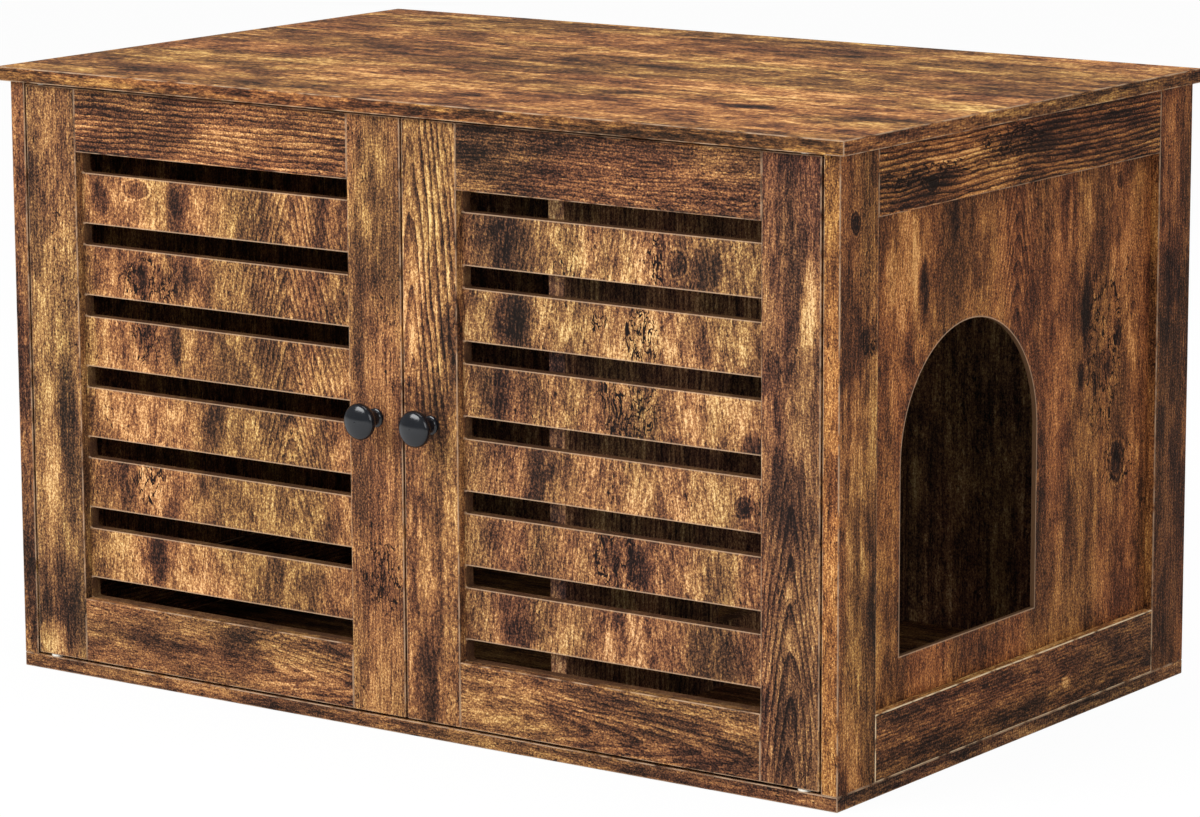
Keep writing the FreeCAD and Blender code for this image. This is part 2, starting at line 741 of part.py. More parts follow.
def base_screw(where, x, y):
    """A countersunk screw up through the base into an upright."""
    start = (x, y, "base_screw_sink")
    length = "base_screw_length - base_screw_sink"
    taper = "(base_screw_head - base_screw_diameter) / 2"
    return joined(
        f"base_screw_{where}",
        [
            rod(f"base_screw_shank_{where}", "base_screw_diameter", length, start, "+Z"),
            cone(f"base_screw_head_{where}", "base_screw_head", "base_screw_diameter", taper, start, "+Z"),
        ],
    )


group("frame_dowels", frame_dowels())
group("top_dowels", top_dowels())
locks = [cam_lock(*point) for point in fixing_points()]
group("cam_discs", [cam for cam, bolt in locks])
group("cam_bolts", [bolt for cam, bolt in locks])
group("base_screws", [base_screw(*point) for point in screw_points()])

# ---- door pivots --------------------------------------------------------------------------------


def pivot_bush(name, x, seat, into, out_of):
    """A flanged plastic bush: its sleeve in the board, its flange towards the door."""
    where = (x, PIVOT_LINE, seat)
    sleeve = rod(f"{name}_sleeve", "bush_diameter", "bush_depth", where, into)
    flange = rod(f"{name}_flange", "bush_flange_diameter", "door_gap - pivot_play", where, out_of)
    hole = "pin_diameter + 2 * pin_clearance"
    bore_in = rod(f"{name}_bore_in", hole, "pin_in_bush + pivot_play", where, into)
    bore_out = rod(f"{name}_bore_out", hole, "door_gap", where, out_of)
    return cut(f"{name}_bush", joined(f"{name}_blank", [sleeve, flange]), [bore_in, bore_out])


bushes = []
for side, sign in SIDES:
    x = f"{sign} * {PIVOT_X}"
    bushes.append(pivot_bush(f"{side}_base", x, FLOOR, "-Z", "+Z"))
    bushes.append(pivot_bush(f"{side}_top", x, CEILING, "+Z", "-Z"))
group("pivot_bushes", bushes)

# ---- magnetic catches ---------------------------------------------------------------------------

CATCH_FRONT = f"({DOOR_BACK} + strike_thickness + strike_gap + pole_proud)"
CATCH_MIDDLE = f"({CATCH_FRONT} + catch_depth / 2)"
MAGNET_HEIGHT = "(catch_height - 2 * catch_wall - 2 * pole_thickness)"
POCKET_HEIGHT = "(catch_height - 2 * catch_wall)"
POCKET_DEPTH = "(catch_depth - catch_wall)"
POCKET_WIDTH = "(catch_width - 2 * catch_ear - catch_wall)"


def small_screw(name, length, x, y, z, way):
    """A pan-head screw that starts at its seat and runs one way, with its head the other way."""
    back_way = {"+Z": "-Z", "+Y": "-Y", "-Y": "+Y"}[way]
    return joined(
        name,
        [
            rod(f"{name}_shank", "small_screw_diameter", length, (x, y, z), way),
            rod(f"{name}_head", "small_screw_head", "small_screw_head_height", (x, y, z), back_way),
        ],
    )


housings, poles, magnets, catch_screws = [], [], [], []
for side, sign in SIDES:
    x = f"{sign} * {MEETING_STILE}"
    middle = f"{CEILING} - catch_height / 2"
    shell_size = ("catch_width", "catch_depth", "catch_height")
    shell = block(f"{side}_catch_shell", shell_size, (x, CATCH_MIDDLE, middle))
    pocket_size = (POCKET_WIDTH, f"2 * {POCKET_DEPTH}", POCKET_HEIGHT)
    tools = [block(f"{side}_catch_pocket", pocket_size, (x, CATCH_FRONT, middle))]
    for end, way in (("outer", 1), ("inner", -1)):
        ear_x = f"{x} + {way} * (catch_width - catch_ear) / 2"
        relief_size = ("catch_ear", "2 * catch_depth", f"{POCKET_HEIGHT} + catch_wall")
        below = f"{CEILING} - catch_height + ({POCKET_HEIGHT} + catch_wall) / 2"
        tools.append(block(f"{side}_ear_relief_{end}", relief_size, (ear_x, CATCH_MIDDLE, below)))
        seat = (ear_x, CATCH_MIDDLE, f"{CEILING} - catch_wall")
        tools.append(rod(f"{side}_ear_hole_{end}", SMALL_HOLE, "catch_wall", seat, "+Z"))
        catch_screws.append(small_screw(f"{side}_catch_screw_{end}", "catch_screw_length", *seat, "+Z"))
    housings.append(cut(f"{side}_catch_housing", shell, tools))
    pole_length = f"{POCKET_DEPTH} + pole_proud"
    pole_y = f"{CATCH_FRONT} - pole_proud + ({pole_length}) / 2"
    for level, way in (("lower", -1), ("upper", 1)):
        z = f"{middle} + {way} * ({POCKET_HEIGHT} - pole_thickness) / 2"
        pole_size = (POCKET_WIDTH, pole_length, "pole_thickness")
        poles.append(block(f"{side}_pole_{level}", pole_size, (x, pole_y, z)))
    magnet_size = (POCKET_WIDTH, POCKET_DEPTH, MAGNET_HEIGHT)
    magnet_y = f"{CATCH_FRONT} + {POCKET_DEPTH} / 2"
    magnets.append(block(f"{side}_magnet", magnet_size, (x, magnet_y, middle)))
group("catch_housings", housings)
group("catch_poles", poles)
group("catch_magnets", magnets)
group("catch_screws", catch_screws)

# ---- doors --------------------------------------------------------------------------------------


def door_x(sign, distance):
    """A place across a door, measured from its hinge edge towards the meeting edge."""
    return f"{sign} * ({HINGE_EDGE} - ({distance}))"


def strike_screw_hole(name, x):
    """The countersunk screw's hole through the strike plate and into the stile."""
    start = (x, f"{DOOR_BACK} + strike_thickness", STRIKE_MIDDLE)
    wide = "small_screw_head + 2 * hole_clearance"
    sink = "(small_screw_head - small_screw_diameter) / 2"
    return [
        rod(f"{name}_hole", SMALL_HOLE, "strike_screw_length + hole_clearance", start, "-Y"),
        cone(f"{name}_sink", wide, SMALL_HOLE, sink, start, "-Y"),
    ]


DOOR_FACE = f"({FRONT} + door_thickness / 2)"
REBATE_DEPTH = f"({SLAT_THICKNESS} + rebate_clearance)"
RAIL_START = {"bottom": DOOR_BOTTOM, "top": f"({DOOR_TOP} - door_rail_height)"}


def rebate_tool(name, sign):
    """What the four frame members lose at the back of the opening, so that the slotted board drops in."""
    width = f"{OPENING_WIDTH} + 2 * rebate_width"
    height = f"{OPENING_HEIGHT} + 2 * rebate_width"
    centre = (door_x(sign, f"{DOOR_WIDTH} / 2"), DOOR_BACK, DOOR_MIDDLE)
    return block(name, (width, f"2 * {REBATE_DEPTH}", height), centre)


def door_dowel_points(sign):
    points = []
    for stile, edge, into in (
        ("hinge", "stile_width", "+X" if sign > 0 else "-X"),
        ("meeting", f"{DOOR_WIDTH} - stile_width", "-X" if sign > 0 else "+X"),
    ):
        for rail in ("bottom", "top"):
            for number, step in enumerate(DOWEL_STEPS, start=1):
                z = f"{RAIL_START[rail]} + door_rail_height / 2 + {step}"
                points.append((f"{stile}_{rail}_{number}", door_x(sign, edge), z, into))
    return points


def door_stile(side, sign, stile):
    label = f"{side}_{stile}_stile"
    across = "stile_width / 2" if stile == "hinge" else f"{DOOR_WIDTH} - stile_width / 2"
    tools = [rebate_tool(f"{label}_rebate", sign)]
    for name, x, z, into in door_dowel_points(sign):
        if name.startswith(stile):
            tools.append(half_dowel_hole(f"{label}_hole_{name}", x, DOOR_FACE, z, into))
    if stile == "hinge":
        x = door_x(sign, "pivot_setback")
        depth = "pin_in_door + hole_clearance"
        for end, z, way in (("base", DOOR_BOTTOM, "+Z"), ("top", DOOR_TOP, "-Z")):
            tools.append(rod(f"{label}_pin_hole_{end}", PIN_HOLE, depth, (x, PIVOT_LINE, z), way))
    else:
        x = door_x(sign, across)
        start = (x, FRONT, DOOR_MIDDLE)
        tools.append(rod(f"{label}_knob_hole", "knob_screw_hole", "door_thickness", start, "+Y"))
        tools += strike_screw_hole(f"{label}_strike", x)
    for name, x, z in panel_screw_points(sign):
        if name.startswith(stile):
            depth = "panel_screw_length + hole_clearance"
            tools.append(rod(f"{label}_screw_hole_{name}", SMALL_HOLE, depth, (x, DOOR_BACK, z), "-Y"))
    board(
        label,
        ("stile_width", "door_thickness", DOOR_HEIGHT),
        (door_x(sign, across), DOOR_FACE, DOOR_MIDDLE),
        tools,
    )


def door_rail(side, sign, level):
    label = f"{side}_door_{level}_rail"
    tools = [rebate_tool(f"{label}_rebate", sign)]
    z = f"{RAIL_START[level]} + door_rail_height / 2"
    for name, x, hole_z, into in door_dowel_points(sign):
        if f"_{level}_" in name:
            tools.append(half_dowel_hole(f"{label}_hole_{name}", x, DOOR_FACE, hole_z, OPPOSITE[into]))
    board(
        label,
        (OPENING_WIDTH, "door_thickness", "door_rail_height"),
        (door_x(sign, f"{DOOR_WIDTH} / 2"), DOOR_FACE, z),
        tools,
    )


# Slats counted from the bottom one: the first, the middle pair and the last are screwed.
SCREWED_SLATS = ("0", "(slot_count - 3) / 2", "(slot_count - 1) / 2", "(slot_count - 2)")


def panel_screw_points(sign):
    """Screws through the slotted board's rim into both stiles, level with some of the slats."""
    points = []
    for number, slat in enumerate(SCREWED_SLATS, start=1):
        z = f"{OPENING_BOTTOM} + slot_height + {SLAT_HEIGHT} / 2 + {slat} * {SLOT_PITCH}"
        for stile, distance in (
            ("hinge", "stile_width - rebate_width / 2"),
            ("meeting", f"{DOOR_WIDTH} - stile_width + rebate_width / 2"),
        ):
            points.append((f"{stile}_{number}", door_x(sign, distance), z))
    return points


def slotted_panel(side, sign):
    """One board with level slots cut through it, so that the strips between them read as slats."""
    label = f"{side}_slotted_panel"
    rim = "(rebate_width - rebate_clearance)"
    body = doc.addObject("PartDesign::Body", label + "_body")
    outline = body_sketch(body, label + "_outline", "XZ_Plane")
    width = f"{OPENING_WIDTH} + 2 * {rim}"
    draw_rectangle(outline, "sheet", "0", "0", width, f"{OPENING_HEIGHT} + 2 * {rim}")
    doc.recompute()
    sheet = pad(body, outline, label + "_pad", SLAT_THICKNESS, reverse=True)
    doc.recompute()
    slot_sketch = body_sketch(body, label + "_slot", "XZ_Plane")
    draw_rectangle(
        slot_sketch,
        "slot",
        f"{rim} + slot_end_inset",
        rim,
        f"{OPENING_WIDTH} - 2 * slot_end_inset",
        "slot_height",
    )
    doc.recompute()
    before = sheet.Shape.Volume
    pocket = body.newObject("PartDesign::Pocket", label + "_pocket")
    pocket.Profile = slot_sketch
    pocket.Type = "ThroughAll"
    checked_volume(pocket, before, label + " slot")
    row = body.newObject("PartDesign::LinearPattern", label + "_slots")
    row.Originals = [pocket]
    row.Direction = (slot_sketch, ["V_Axis"])
    bind(row, Length=f"{SLOT_PITCH} * (slot_count - 1)", Occurrences="slot_count")
    body.Tip = row
    checked_volume(row, pocket.Shape.Volume, label + " slot row")
    corners = []
    for number, edge in enumerate(row.Shape.Edges, start=1):
        box = edge.BoundBox
        runs_through = box.YLength > box.XLength + box.ZLength
        inside = value(rim) < box.XMin and box.XMax < value(f"{OPENING_WIDTH} + {rim}")
        if runs_through and inside:
            corners.append(f"Edge{number}")
    fillet = body.newObject("PartDesign::Fillet", label + "_slot_corners")
    fillet.Base = (row, corners)
    bind(fillet, Radius="slot_corner_radius")
    body.Tip = fillet
    doc.recompute()
    left = door_x(sign, f"{DOOR_WIDTH} - stile_width + {rim}" if sign > 0 else f"stile_width - {rim}")
    place(body, left, f"{DOOR_BACK} - {SLAT_THICKNESS}", f"{OPENING_BOTTOM} - {rim}")
    tools = []
    for name, x, z in panel_screw_points(sign):
        tools.append(rod(f"{label}_hole_{name}", SMALL_HOLE, SLAT_THICKNESS, (x, DOOR_BACK, z), "-Y"))
    finish(label, cut(f"{label}_board", body, tools))


KNOB_RIM = "(knob_diameter / 2 - knob_rim_radius)"
KNOB_FALL = "(knob_projection - knob_widest)"
KNOB_DOME = f"(({KNOB_RIM}^2 + {KNOB_FALL}^2 - knob_rim_radius^2) / (2 * ({KNOB_FALL} - knob_rim_radius)))"
KNOB_OUTLINE = (
    ("0", "0"),
    ("knob_rose_diameter / 2", "0"),
    ("knob_rose_diameter / 2", "knob_rose_edge"),
    ("knob_neck_diameter / 2", "knob_rose_depth"),
    ("knob_neck_diameter / 2", "knob_rose_depth + knob_neck_length"),
    (
        f"{KNOB_RIM} + knob_rim_radius * cos(knob_tuck_angle)",
        "knob_widest - knob_rim_radius * sin(knob_tuck_angle)",
    ),
)
KNOB_BULGES = (None, None, "-knob_rose_cove", "-knob_waist", "knob_belly")


def knob_profile(sketch):
    """Half a knob's outline. A dome that is tangent to the round rim crowns it."""
    last, end = draw_outline(sketch, KNOB_OUTLINE, KNOB_BULGES)
    rim, widest, crown = value(KNOB_RIM), value("knob_widest"), value("knob_projection")
    radius, dome = value("knob_rim_radius"), value(KNOB_DOME)
    tuck = math.radians(value("knob_tuck_angle"))
    shoulder = math.atan2(widest - crown + dome, rim)
    upward = Vector(0, 0, 1)
    rim_circle = Part.Circle(Vector(rim, widest, 0), upward, radius)
    edge = sketch.addGeometry(Part.ArcOfCircle(rim_circle, -tuck, shoulder), False)
    dome_circle = Part.Circle(Vector(0, crown - dome, 0), upward, dome)
    cap = sketch.addGeometry(Part.ArcOfCircle(dome_circle, shoulder, math.pi / 2), False)
    axis = sketch.addGeometry(Part.LineSegment(Vector(0, crown, 0), Vector(0, 0, 0)), False)
    sketch.addConstraint(Sketcher.Constraint("Coincident", last, end, edge, 1))
    dimension(sketch, "rim_middle", "DistanceY", -1, 1, edge, 3, "knob_widest")
    dimension(sketch, "rim_radius", "Radius", edge, "knob_rim_radius")
    sketch.addConstraint(Sketcher.Constraint("Tangent", edge, 2, cap, 1))
    sketch.addConstraint(Sketcher.Constraint("PointOnObject", cap, 3, -2))
    sketch.addConstraint(Sketcher.Constraint("Coincident", cap, 2, axis, 1))
    sketch.addConstraint(Sketcher.Constraint("Coincident", axis, 2, -1, 1))
    sketch.addConstraint(Sketcher.Constraint("Vertical", axis))
    dimension(sketch, "crown", "DistanceY", -1, 1, axis, 1, "knob_projection")


def knob(side, sign):
    """A turned mushroom knob: flared rose, waisted neck, round rim and domed crown, drilled for its screw."""
    label = f"{side}_knob"
    body = doc.addObject("PartDesign::Body", label + "_body")
    sketch = body_sketch(body, label + "_profile", "XY_Plane")
    knob_profile(sketch)
    doc.recompute()
    turned = body.newObject("PartDesign::Revolution", label + "_turned")
    turned.Profile = sketch
    turned.ReferenceAxis = (sketch, ["V_Axis"])
    turned.Angle = 360
    doc.recompute()
    body.Placement.Rotation = Rotation(Vector(0, 0, 1), 180)
    x = f"{sign} * {MEETING_STILE}"
    place(body, x, FRONT, DOOR_MIDDLE)
    diameter = "knob_screw_diameter + 2 * hole_clearance"
    depth = "knob_screw_grip + hole_clearance"
    hole = rod(f"{label}_hole", diameter, depth, (x, FRONT, DOOR_MIDDLE), "-Y")
    finish(label, cut(f"{label}_drilled", body, [hole]))


def knob_screw(side, sign):
    """The screw from behind into a knob: a tapered head with a driver slot across it."""
    label = f"{side}_knob_screw"
    x = f"{sign} * {MEETING_STILE}"
    start = (x, f"{FRONT} - knob_screw_grip", DOOR_MIDDLE)
    shank = rod(f"{label}_shank", "knob_screw_diameter", "door_thickness + knob_screw_grip", start, "+Y")
    seat = (x, DOOR_BACK, DOOR_MIDDLE)
    taper = ("knob_screw_head", "knob_screw_head_top", "knob_screw_head_height")
    head = cone(f"{label}_head", *taper, seat, "+Y")
    slot = block(
        f"{label}_slot",
        ("knob_screw_head", "2 * knob_screw_slot_depth", "knob_screw_slot_width"),
        (x, f"{DOOR_BACK} + knob_screw_head_height", DOOR_MIDDLE),
    )
    finish(label, cut(f"{label}_cut", joined(f"{label}_solid", [shank, head]), [slot]))


def door_hardware(side, sign):
    x = door_x(sign, "pivot_setback")
    pins = []
    length = "pin_in_door + door_gap + pin_in_bush"
    for end, z in (("base", f"{DOOR_BOTTOM} - door_gap - pin_in_bush"), ("top", f"{DOOR_TOP} - pin_in_door")):
        pins.append(rod(f"{side}_pin_{end}", "pin_diameter", length, (x, PIVOT_LINE, z), "+Z"))
    group(f"{side}_door_pins", pins)

    dowels = []
    for name, edge_x, z, into in door_dowel_points(sign):
        start = (f"{edge_x} - dowel_length / 2", DOOR_FACE, z)
        dowels.append(rod(f"{side}_door_dowel_{name}", "dowel_diameter", "dowel_length", start, "+X"))
    group(f"{side}_door_dowels", dowels)

    screws = [
        small_screw(f"{side}_panel_screw_{name}", "panel_screw_length", screw_x, DOOR_BACK, z, "-Y")
        for name, screw_x, z in panel_screw_points(sign)
    ]
    group(f"{side}_panel_screws", screws)

    strike_x = f"{sign} * {MEETING_STILE}"
    plate = block(
        f"{side}_strike_blank",
        ("strike_width", "strike_thickness", "strike_height"),
        (strike_x, f"{DOOR_BACK} + strike_thickness / 2", STRIKE_MIDDLE),
    )
    holes = strike_screw_hole(f"{side}_strike", strike_x)
    finish(f"{side}_strike_plate", cut(f"{side}_strike", plate, holes))
    start = (strike_x, f"{DOOR_BACK} + strike_thickness", STRIKE_MIDDLE)
    sink = "(small_screw_head - small_screw_diameter) / 2"
    head = cone(f"{side}_strike_screw_head", "small_screw_head", "small_screw_diameter", sink, start, "-Y")
    shank = rod(f"{side}_strike_screw_shank", "small_screw_diameter", "strike_screw_length", start, "-Y")
    finish(f"{side}_strike_screw", joined(f"{side}_strike_screw_solid", [head, shank]))


for side, sign in SIDES:
    for stile in ("hinge", "meeting"):
        door_stile(side, sign, stile)
    for level in ("bottom", "top"):
        door_rail(side, sign, level)
    slotted_panel(side, sign)
    knob(side, sign)
    knob_screw(side, sign)
    door_hardware(side, sign)

# ---- check and write ----------------------------------------------------------------------------

doc.recompute()
faults = [item.Name for item in doc.Objects if "Invalid" in item.State or "Error" in item.State]
for item in sub_parts:
    if item.Shape.isNull() or not item.Shape.isValid() or not item.Shape.Solids:
        faults.append(item.Label)
if faults:
    raise RuntimeError("failed: " + ", ".join(faults))
os.makedirs("parts", exist_ok=True)
for item in sub_parts:
    item.Shape.exportStep(f"parts/{item.Label}.step")
whole = Part.makeCompound([item.Shape for item in sub_parts]).BoundBox
print(f"{len(sub_parts)} sub-parts, {whole.XLength:.1f} x {whole.YLength:.1f} x {whole.ZLength:.1f} mm")
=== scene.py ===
import math

import bpy
from mathutils import Matrix, Vector


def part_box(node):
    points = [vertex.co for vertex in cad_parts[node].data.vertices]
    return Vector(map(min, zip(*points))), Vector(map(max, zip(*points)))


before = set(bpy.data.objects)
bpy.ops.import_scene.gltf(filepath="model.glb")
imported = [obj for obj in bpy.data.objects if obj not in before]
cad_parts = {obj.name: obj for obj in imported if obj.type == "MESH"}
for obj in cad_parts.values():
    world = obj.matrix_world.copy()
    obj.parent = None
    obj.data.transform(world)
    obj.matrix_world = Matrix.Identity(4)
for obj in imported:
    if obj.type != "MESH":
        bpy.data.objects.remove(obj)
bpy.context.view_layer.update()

# ---- Studio -------------------------------------------------------------------------------------
# The cabinet stands on a pale seamless floor in plain soft light: one large softbox from the front
# left, a weaker one from the right, one above it, and an even white surround.

CAMERA_PLACE = (2.354, -3.276, 0.997)
CAMERA_YAW = 0.6230
CAMERA_DIP = 0.1884
CAMERA_ROLL = -0.0040
CAMERA_LENS = 144.8
SURROUND_LIGHT = 0.40
FLOOR_SIZE = 60
FLOOR_GAP = 0.0004
FLOOR_PAINT = (0.86, 0.86, 0.86, 1)
FLOOR_WHITENESS = 0.96
WHITE = (1, 1, 1, 1)


def srgb(red, green, blue):
    """The linear colour for a shader, from the 0-255 steps that a screen shows."""
    steps = [step / 255 for step in (red, green, blue)]
    return (*(s / 12.92 if s <= 0.04045 else ((s + 0.055) / 1.055) ** 2.4 for s in steps), 1.0)


class Link:
    """A socket of a material's nodes, with arithmetic."""

    def __init__(self, finish, node, output=0):
        self.finish = finish
        self.node = node
        self.output = output

    def pick(self, output):
        return Link(self.finish, self.node, output)

    def math(self, operation, first, second=0.0):
        return self.finish.node("ShaderNodeMath", {"operation": operation}, {0: first, 1: second})

    def __add__(self, other):
        return self.math("ADD", self, other)

    __radd__ = __add__

    def __sub__(self, other):
        return self.math("SUBTRACT", self, other)

    def __rsub__(self, other):
        return self.math("SUBTRACT", other, self)

    def __mul__(self, other):
        return self.math("MULTIPLY", self, other)

    __rmul__ = __mul__

    def __truediv__(self, other):
        return self.math("DIVIDE", self, other)

    def __rtruediv__(self, other):
        return self.math("DIVIDE", other, self)

    def __abs__(self):
        return self.math("ABSOLUTE", self)

    def root(self):
        return self.math("SQRT", self)

    def sine(self):
        return self.math("SINE", self)

    def fraction(self):
        return self.math("FRACT", self)

    def least(self, other):
        return self.math("MINIMUM", self, other)

    def most(self, other):
        return self.math("MAXIMUM", self, other)

    def step(self, low, high):
        """0 below ``low``, 1 above ``high`` and smooth between; ``low`` may be the larger."""
        sockets = {"Value": self, "From Min": low, "From Max": high, "To Min": 0.0, "To Max": 1.0}
        return self.finish.node("ShaderNodeMapRange", {"interpolation_type": "SMOOTHSTEP"}, sockets)


class Finish:
    """A material under construction."""

    def __init__(self, name):
        self.material = bpy.data.materials.new(name)
        self.material.use_nodes = True
        self.tree = self.material.node_tree
        self.tree.nodes.clear()

    def node(self, kind, settings, sockets):
        """Adds a node: its settings first, then a value or a link for each named or numbered socket."""
        made = self.tree.nodes.new(kind)
        for key, setting in settings.items():
            if key == "stops":
                ramp = made.color_ramp
                while len(ramp.elements) < len(setting):
                    ramp.elements.new(0.5)
                for element, (position, colour) in zip(ramp.elements, setting):
                    element.position = position
                    element.color = colour
            else:
                setattr(made, key, setting)
        for key, given in sockets.items():
            if isinstance(given, Link):
                self.tree.links.new(given.node.outputs[given.output], made.inputs[key])
            else:
                made.inputs[key].default_value = given
        return Link(self, made)

    def coordinates(self, kind="Object"):
        return self.node("ShaderNodeTexCoord", {}, {}).pick(kind)

    def separated(self, vector):
        return self.node("ShaderNodeSeparateXYZ", {}, {0: vector})

    def noise(self, vector, detail=2.0, roughness=0.5, distortion=0.0):
        sockets = {"Vector": vector, "Scale": 1.0, "Detail": detail, "Roughness": roughness}
        sockets["Distortion"] = distortion
        return self.node("ShaderNodeTexNoise", {}, sockets)

    def scaled(self, vector, scale, shift=(0.0, 0.0, 0.0)):
        sockets = {0: vector, 1: scale, 2: shift}
        return self.node("ShaderNodeVectorMath", {"operation": "MULTIPLY_ADD"}, sockets)

    def mixed(self, factor, first, second, way="MIX"):
        """Two colours mixed."""
        settings = {"data_type": "RGBA", "blend_type": way}
        return self.node("ShaderNodeMix", settings, {0: factor, 6: first, 7: second}).pick(2)

    def spot(self, vector, place, reach):
        """1 at a place, falling to 0 at a reach in each direction."""
        sockets = {"Vector": vector, "Location": place, "Scale": reach}
        mapped = self.node("ShaderNodeMapping", {"vector_type": "TEXTURE"}, sockets)
        return self.node("ShaderNodeTexGradient", {"gradient_type": "SPHERICAL"}, {"Vector": mapped}).pick(1)

    def surface(self, colour, roughness, height, relief, metallic=0.0, shine=0.5):
        """Ends the material with one shader. ``relief`` is how deep the bumps are, in metres."""
        bump = self.node("ShaderNodeBump", {}, {"Strength": 1.0, "Distance": relief, "Height": height})
        sockets = {"Base Color": colour, "Roughness": roughness, "Metallic": metallic, "Normal": bump}
        sockets["Specular IOR Level"] = shine
        shader = self.node("ShaderNodeBsdfPrincipled", {}, sockets)
        self.node("ShaderNodeOutputMaterial", {}, {"Surface": shader})
        return self.material


def white_to_camera(finish, shader, whiteness):
    """Mixes plain white into what the camera sees of a surface."""
    seen = finish.node("ShaderNodeLightPath", {}, {}).pick("Is Camera Ray")
    white = finish.node("ShaderNodeEmission", {}, {"Color": WHITE, "Strength": 1.0})
    mixed = finish.node("ShaderNodeMixShader", {}, {0: seen * whiteness, 1: shader, 2: white})
    finish.node("ShaderNodeOutputMaterial", {}, {"Surface": mixed})


bpy.ops.object.select_all(action="DESELECT")
bpy.ops.mesh.primitive_plane_add(size=FLOOR_SIZE, location=(0, 0, -FLOOR_GAP))
floor = bpy.context.object
floor.name = "studio_floor"
floor_finish = Finish("pale_floor")
floor_paint = floor_finish.node("ShaderNodeBsdfDiffuse", {}, {"Color": FLOOR_PAINT})
white_to_camera(floor_finish, floor_paint, FLOOR_WHITENESS)
floor.data.materials.append(floor_finish.material)

surround = bpy.data.worlds.new("white_surround")
bpy.context.scene.world = surround
surround.use_nodes = True
surround_rays = surround.node_tree.nodes.new("ShaderNodeLightPath")
surround_level = surround.node_tree.nodes.new("ShaderNodeMapRange")
surround_level.inputs["To Min"].default_value = SURROUND_LIGHT
surround_level.inputs["To Max"].default_value = 1.0
surround_shade = surround.node_tree.nodes["Background"]
surround_shade.inputs["Color"].default_value = WHITE
surround.node_tree.links.new(surround_rays.outputs["Is Camera Ray"], surround_level.inputs["Value"])
surround.node_tree.links.new(surround_level.outputs["Result"], surround_shade.inputs["Strength"])


def softbox(name, place, aim, width, height, power):
    """A soft rectangular lamp turned to face a point."""
    lamp = bpy.data.lights.new(name, "AREA")
    lamp.shape = "RECTANGLE"
    lamp.size = width
    lamp.size_y = height
    lamp.energy = power
    stand = bpy.data.objects.new(name, lamp)
    bpy.context.scene.collection.objects.link(stand)
    away = Vector(place) - Vector(aim)
    stand.location = place
    stand.rotation_euler = away.to_track_quat("Z", "Y").to_euler()
    stand.visible_camera = False


softbox("front_softbox", (-1.3, -3.2, 2.6), (0.0, -0.1, 0.25), width=2.4, height=1.8, power=150)
softbox("side_softbox", (3.0, -1.9, 1.7), (0.2, 0.0, 0.25), width=1.8, height=1.8, power=40)
softbox("top_softbox", (0.2, 0.4, 3.6), (0.0, 0.0, 0.4), width=2.2, height=2.2, power=60)

camera = bpy.data.objects.new("camera", bpy.data.cameras.new("camera"))
bpy.context.scene.collection.objects.link(camera)
camera.data.lens = CAMERA_LENS
turn = Matrix.Rotation(CAMERA_YAW, 4, "Z") @ Matrix.Rotation(math.pi / 2 - CAMERA_DIP, 4, "X")
camera.matrix_world = Matrix.Translation(CAMERA_PLACE) @ turn @ Matrix.Rotation(CAMERA_ROLL, 4, "Z")
bpy.context.scene.camera = camera
bpy.context.scene.view_settings.view_transform = "Standard"

# ---- Top board ----------------------------------------------------------------------------------
# A 12 mm particle board under a printed rustic wood foil, its grain along the cabinet's width.
# Thin pale lines along its edges are a painted highlight, where the arrises catch the light.

PRINT_TONES = (
    (0.00, srgb(27, 20, 18)),
    (0.16, srgb(50, 34, 28)),
    (0.34, srgb(86, 56, 41)),
    (0.52, srgb(124, 84, 56)),
    (0.68, srgb(158, 113, 70)),
    (0.84, srgb(196, 150, 95)),
    (1.00, srgb(230, 192, 136)),
)
CLOUD_DEPTH = 0.30
STREAK_DEPTH = 0.75
FIBRE_DEPTH = 0.42
PORE_DEPTH = 0.22
CRACK_DEPTH = 1.1
RING_DEPTH = 0.4
FAINTEST_FIGURE = 0.08
PATCH_STRAY = (0.030, 0.011)
KNOT_STRAY = (0.012, 0.008)
FIGURE_WANDER = 0.020
FIGURE_SHIVER = 0.0022
KNOT_TURNS = 22
STRAIGHT_FIGURE = dict(centre=9.0, width=0.01, taper=0.0, spacing=0.0042, depth=0.10, within=None)
WARM_PRINT = (1.05, 0.94, 0.93)
COOL_PRINT = (0.97, 1.02, 0.90)
FOIL_RELIEF = 0.0005
FOIL_SHINE = 0.06
# Colour, width and breakup size of the painted highlight along edges, slots and the arch's rim.
ARRIS_HIGHLIGHT = srgb(176, 146, 118)
ARRIS_WIDTH = 0.0011
HIGHLIGHT_BREAKUP_SIZE = (60, 60, 60)
MM = 0.001
RIGHT_THROUGH = 2.0


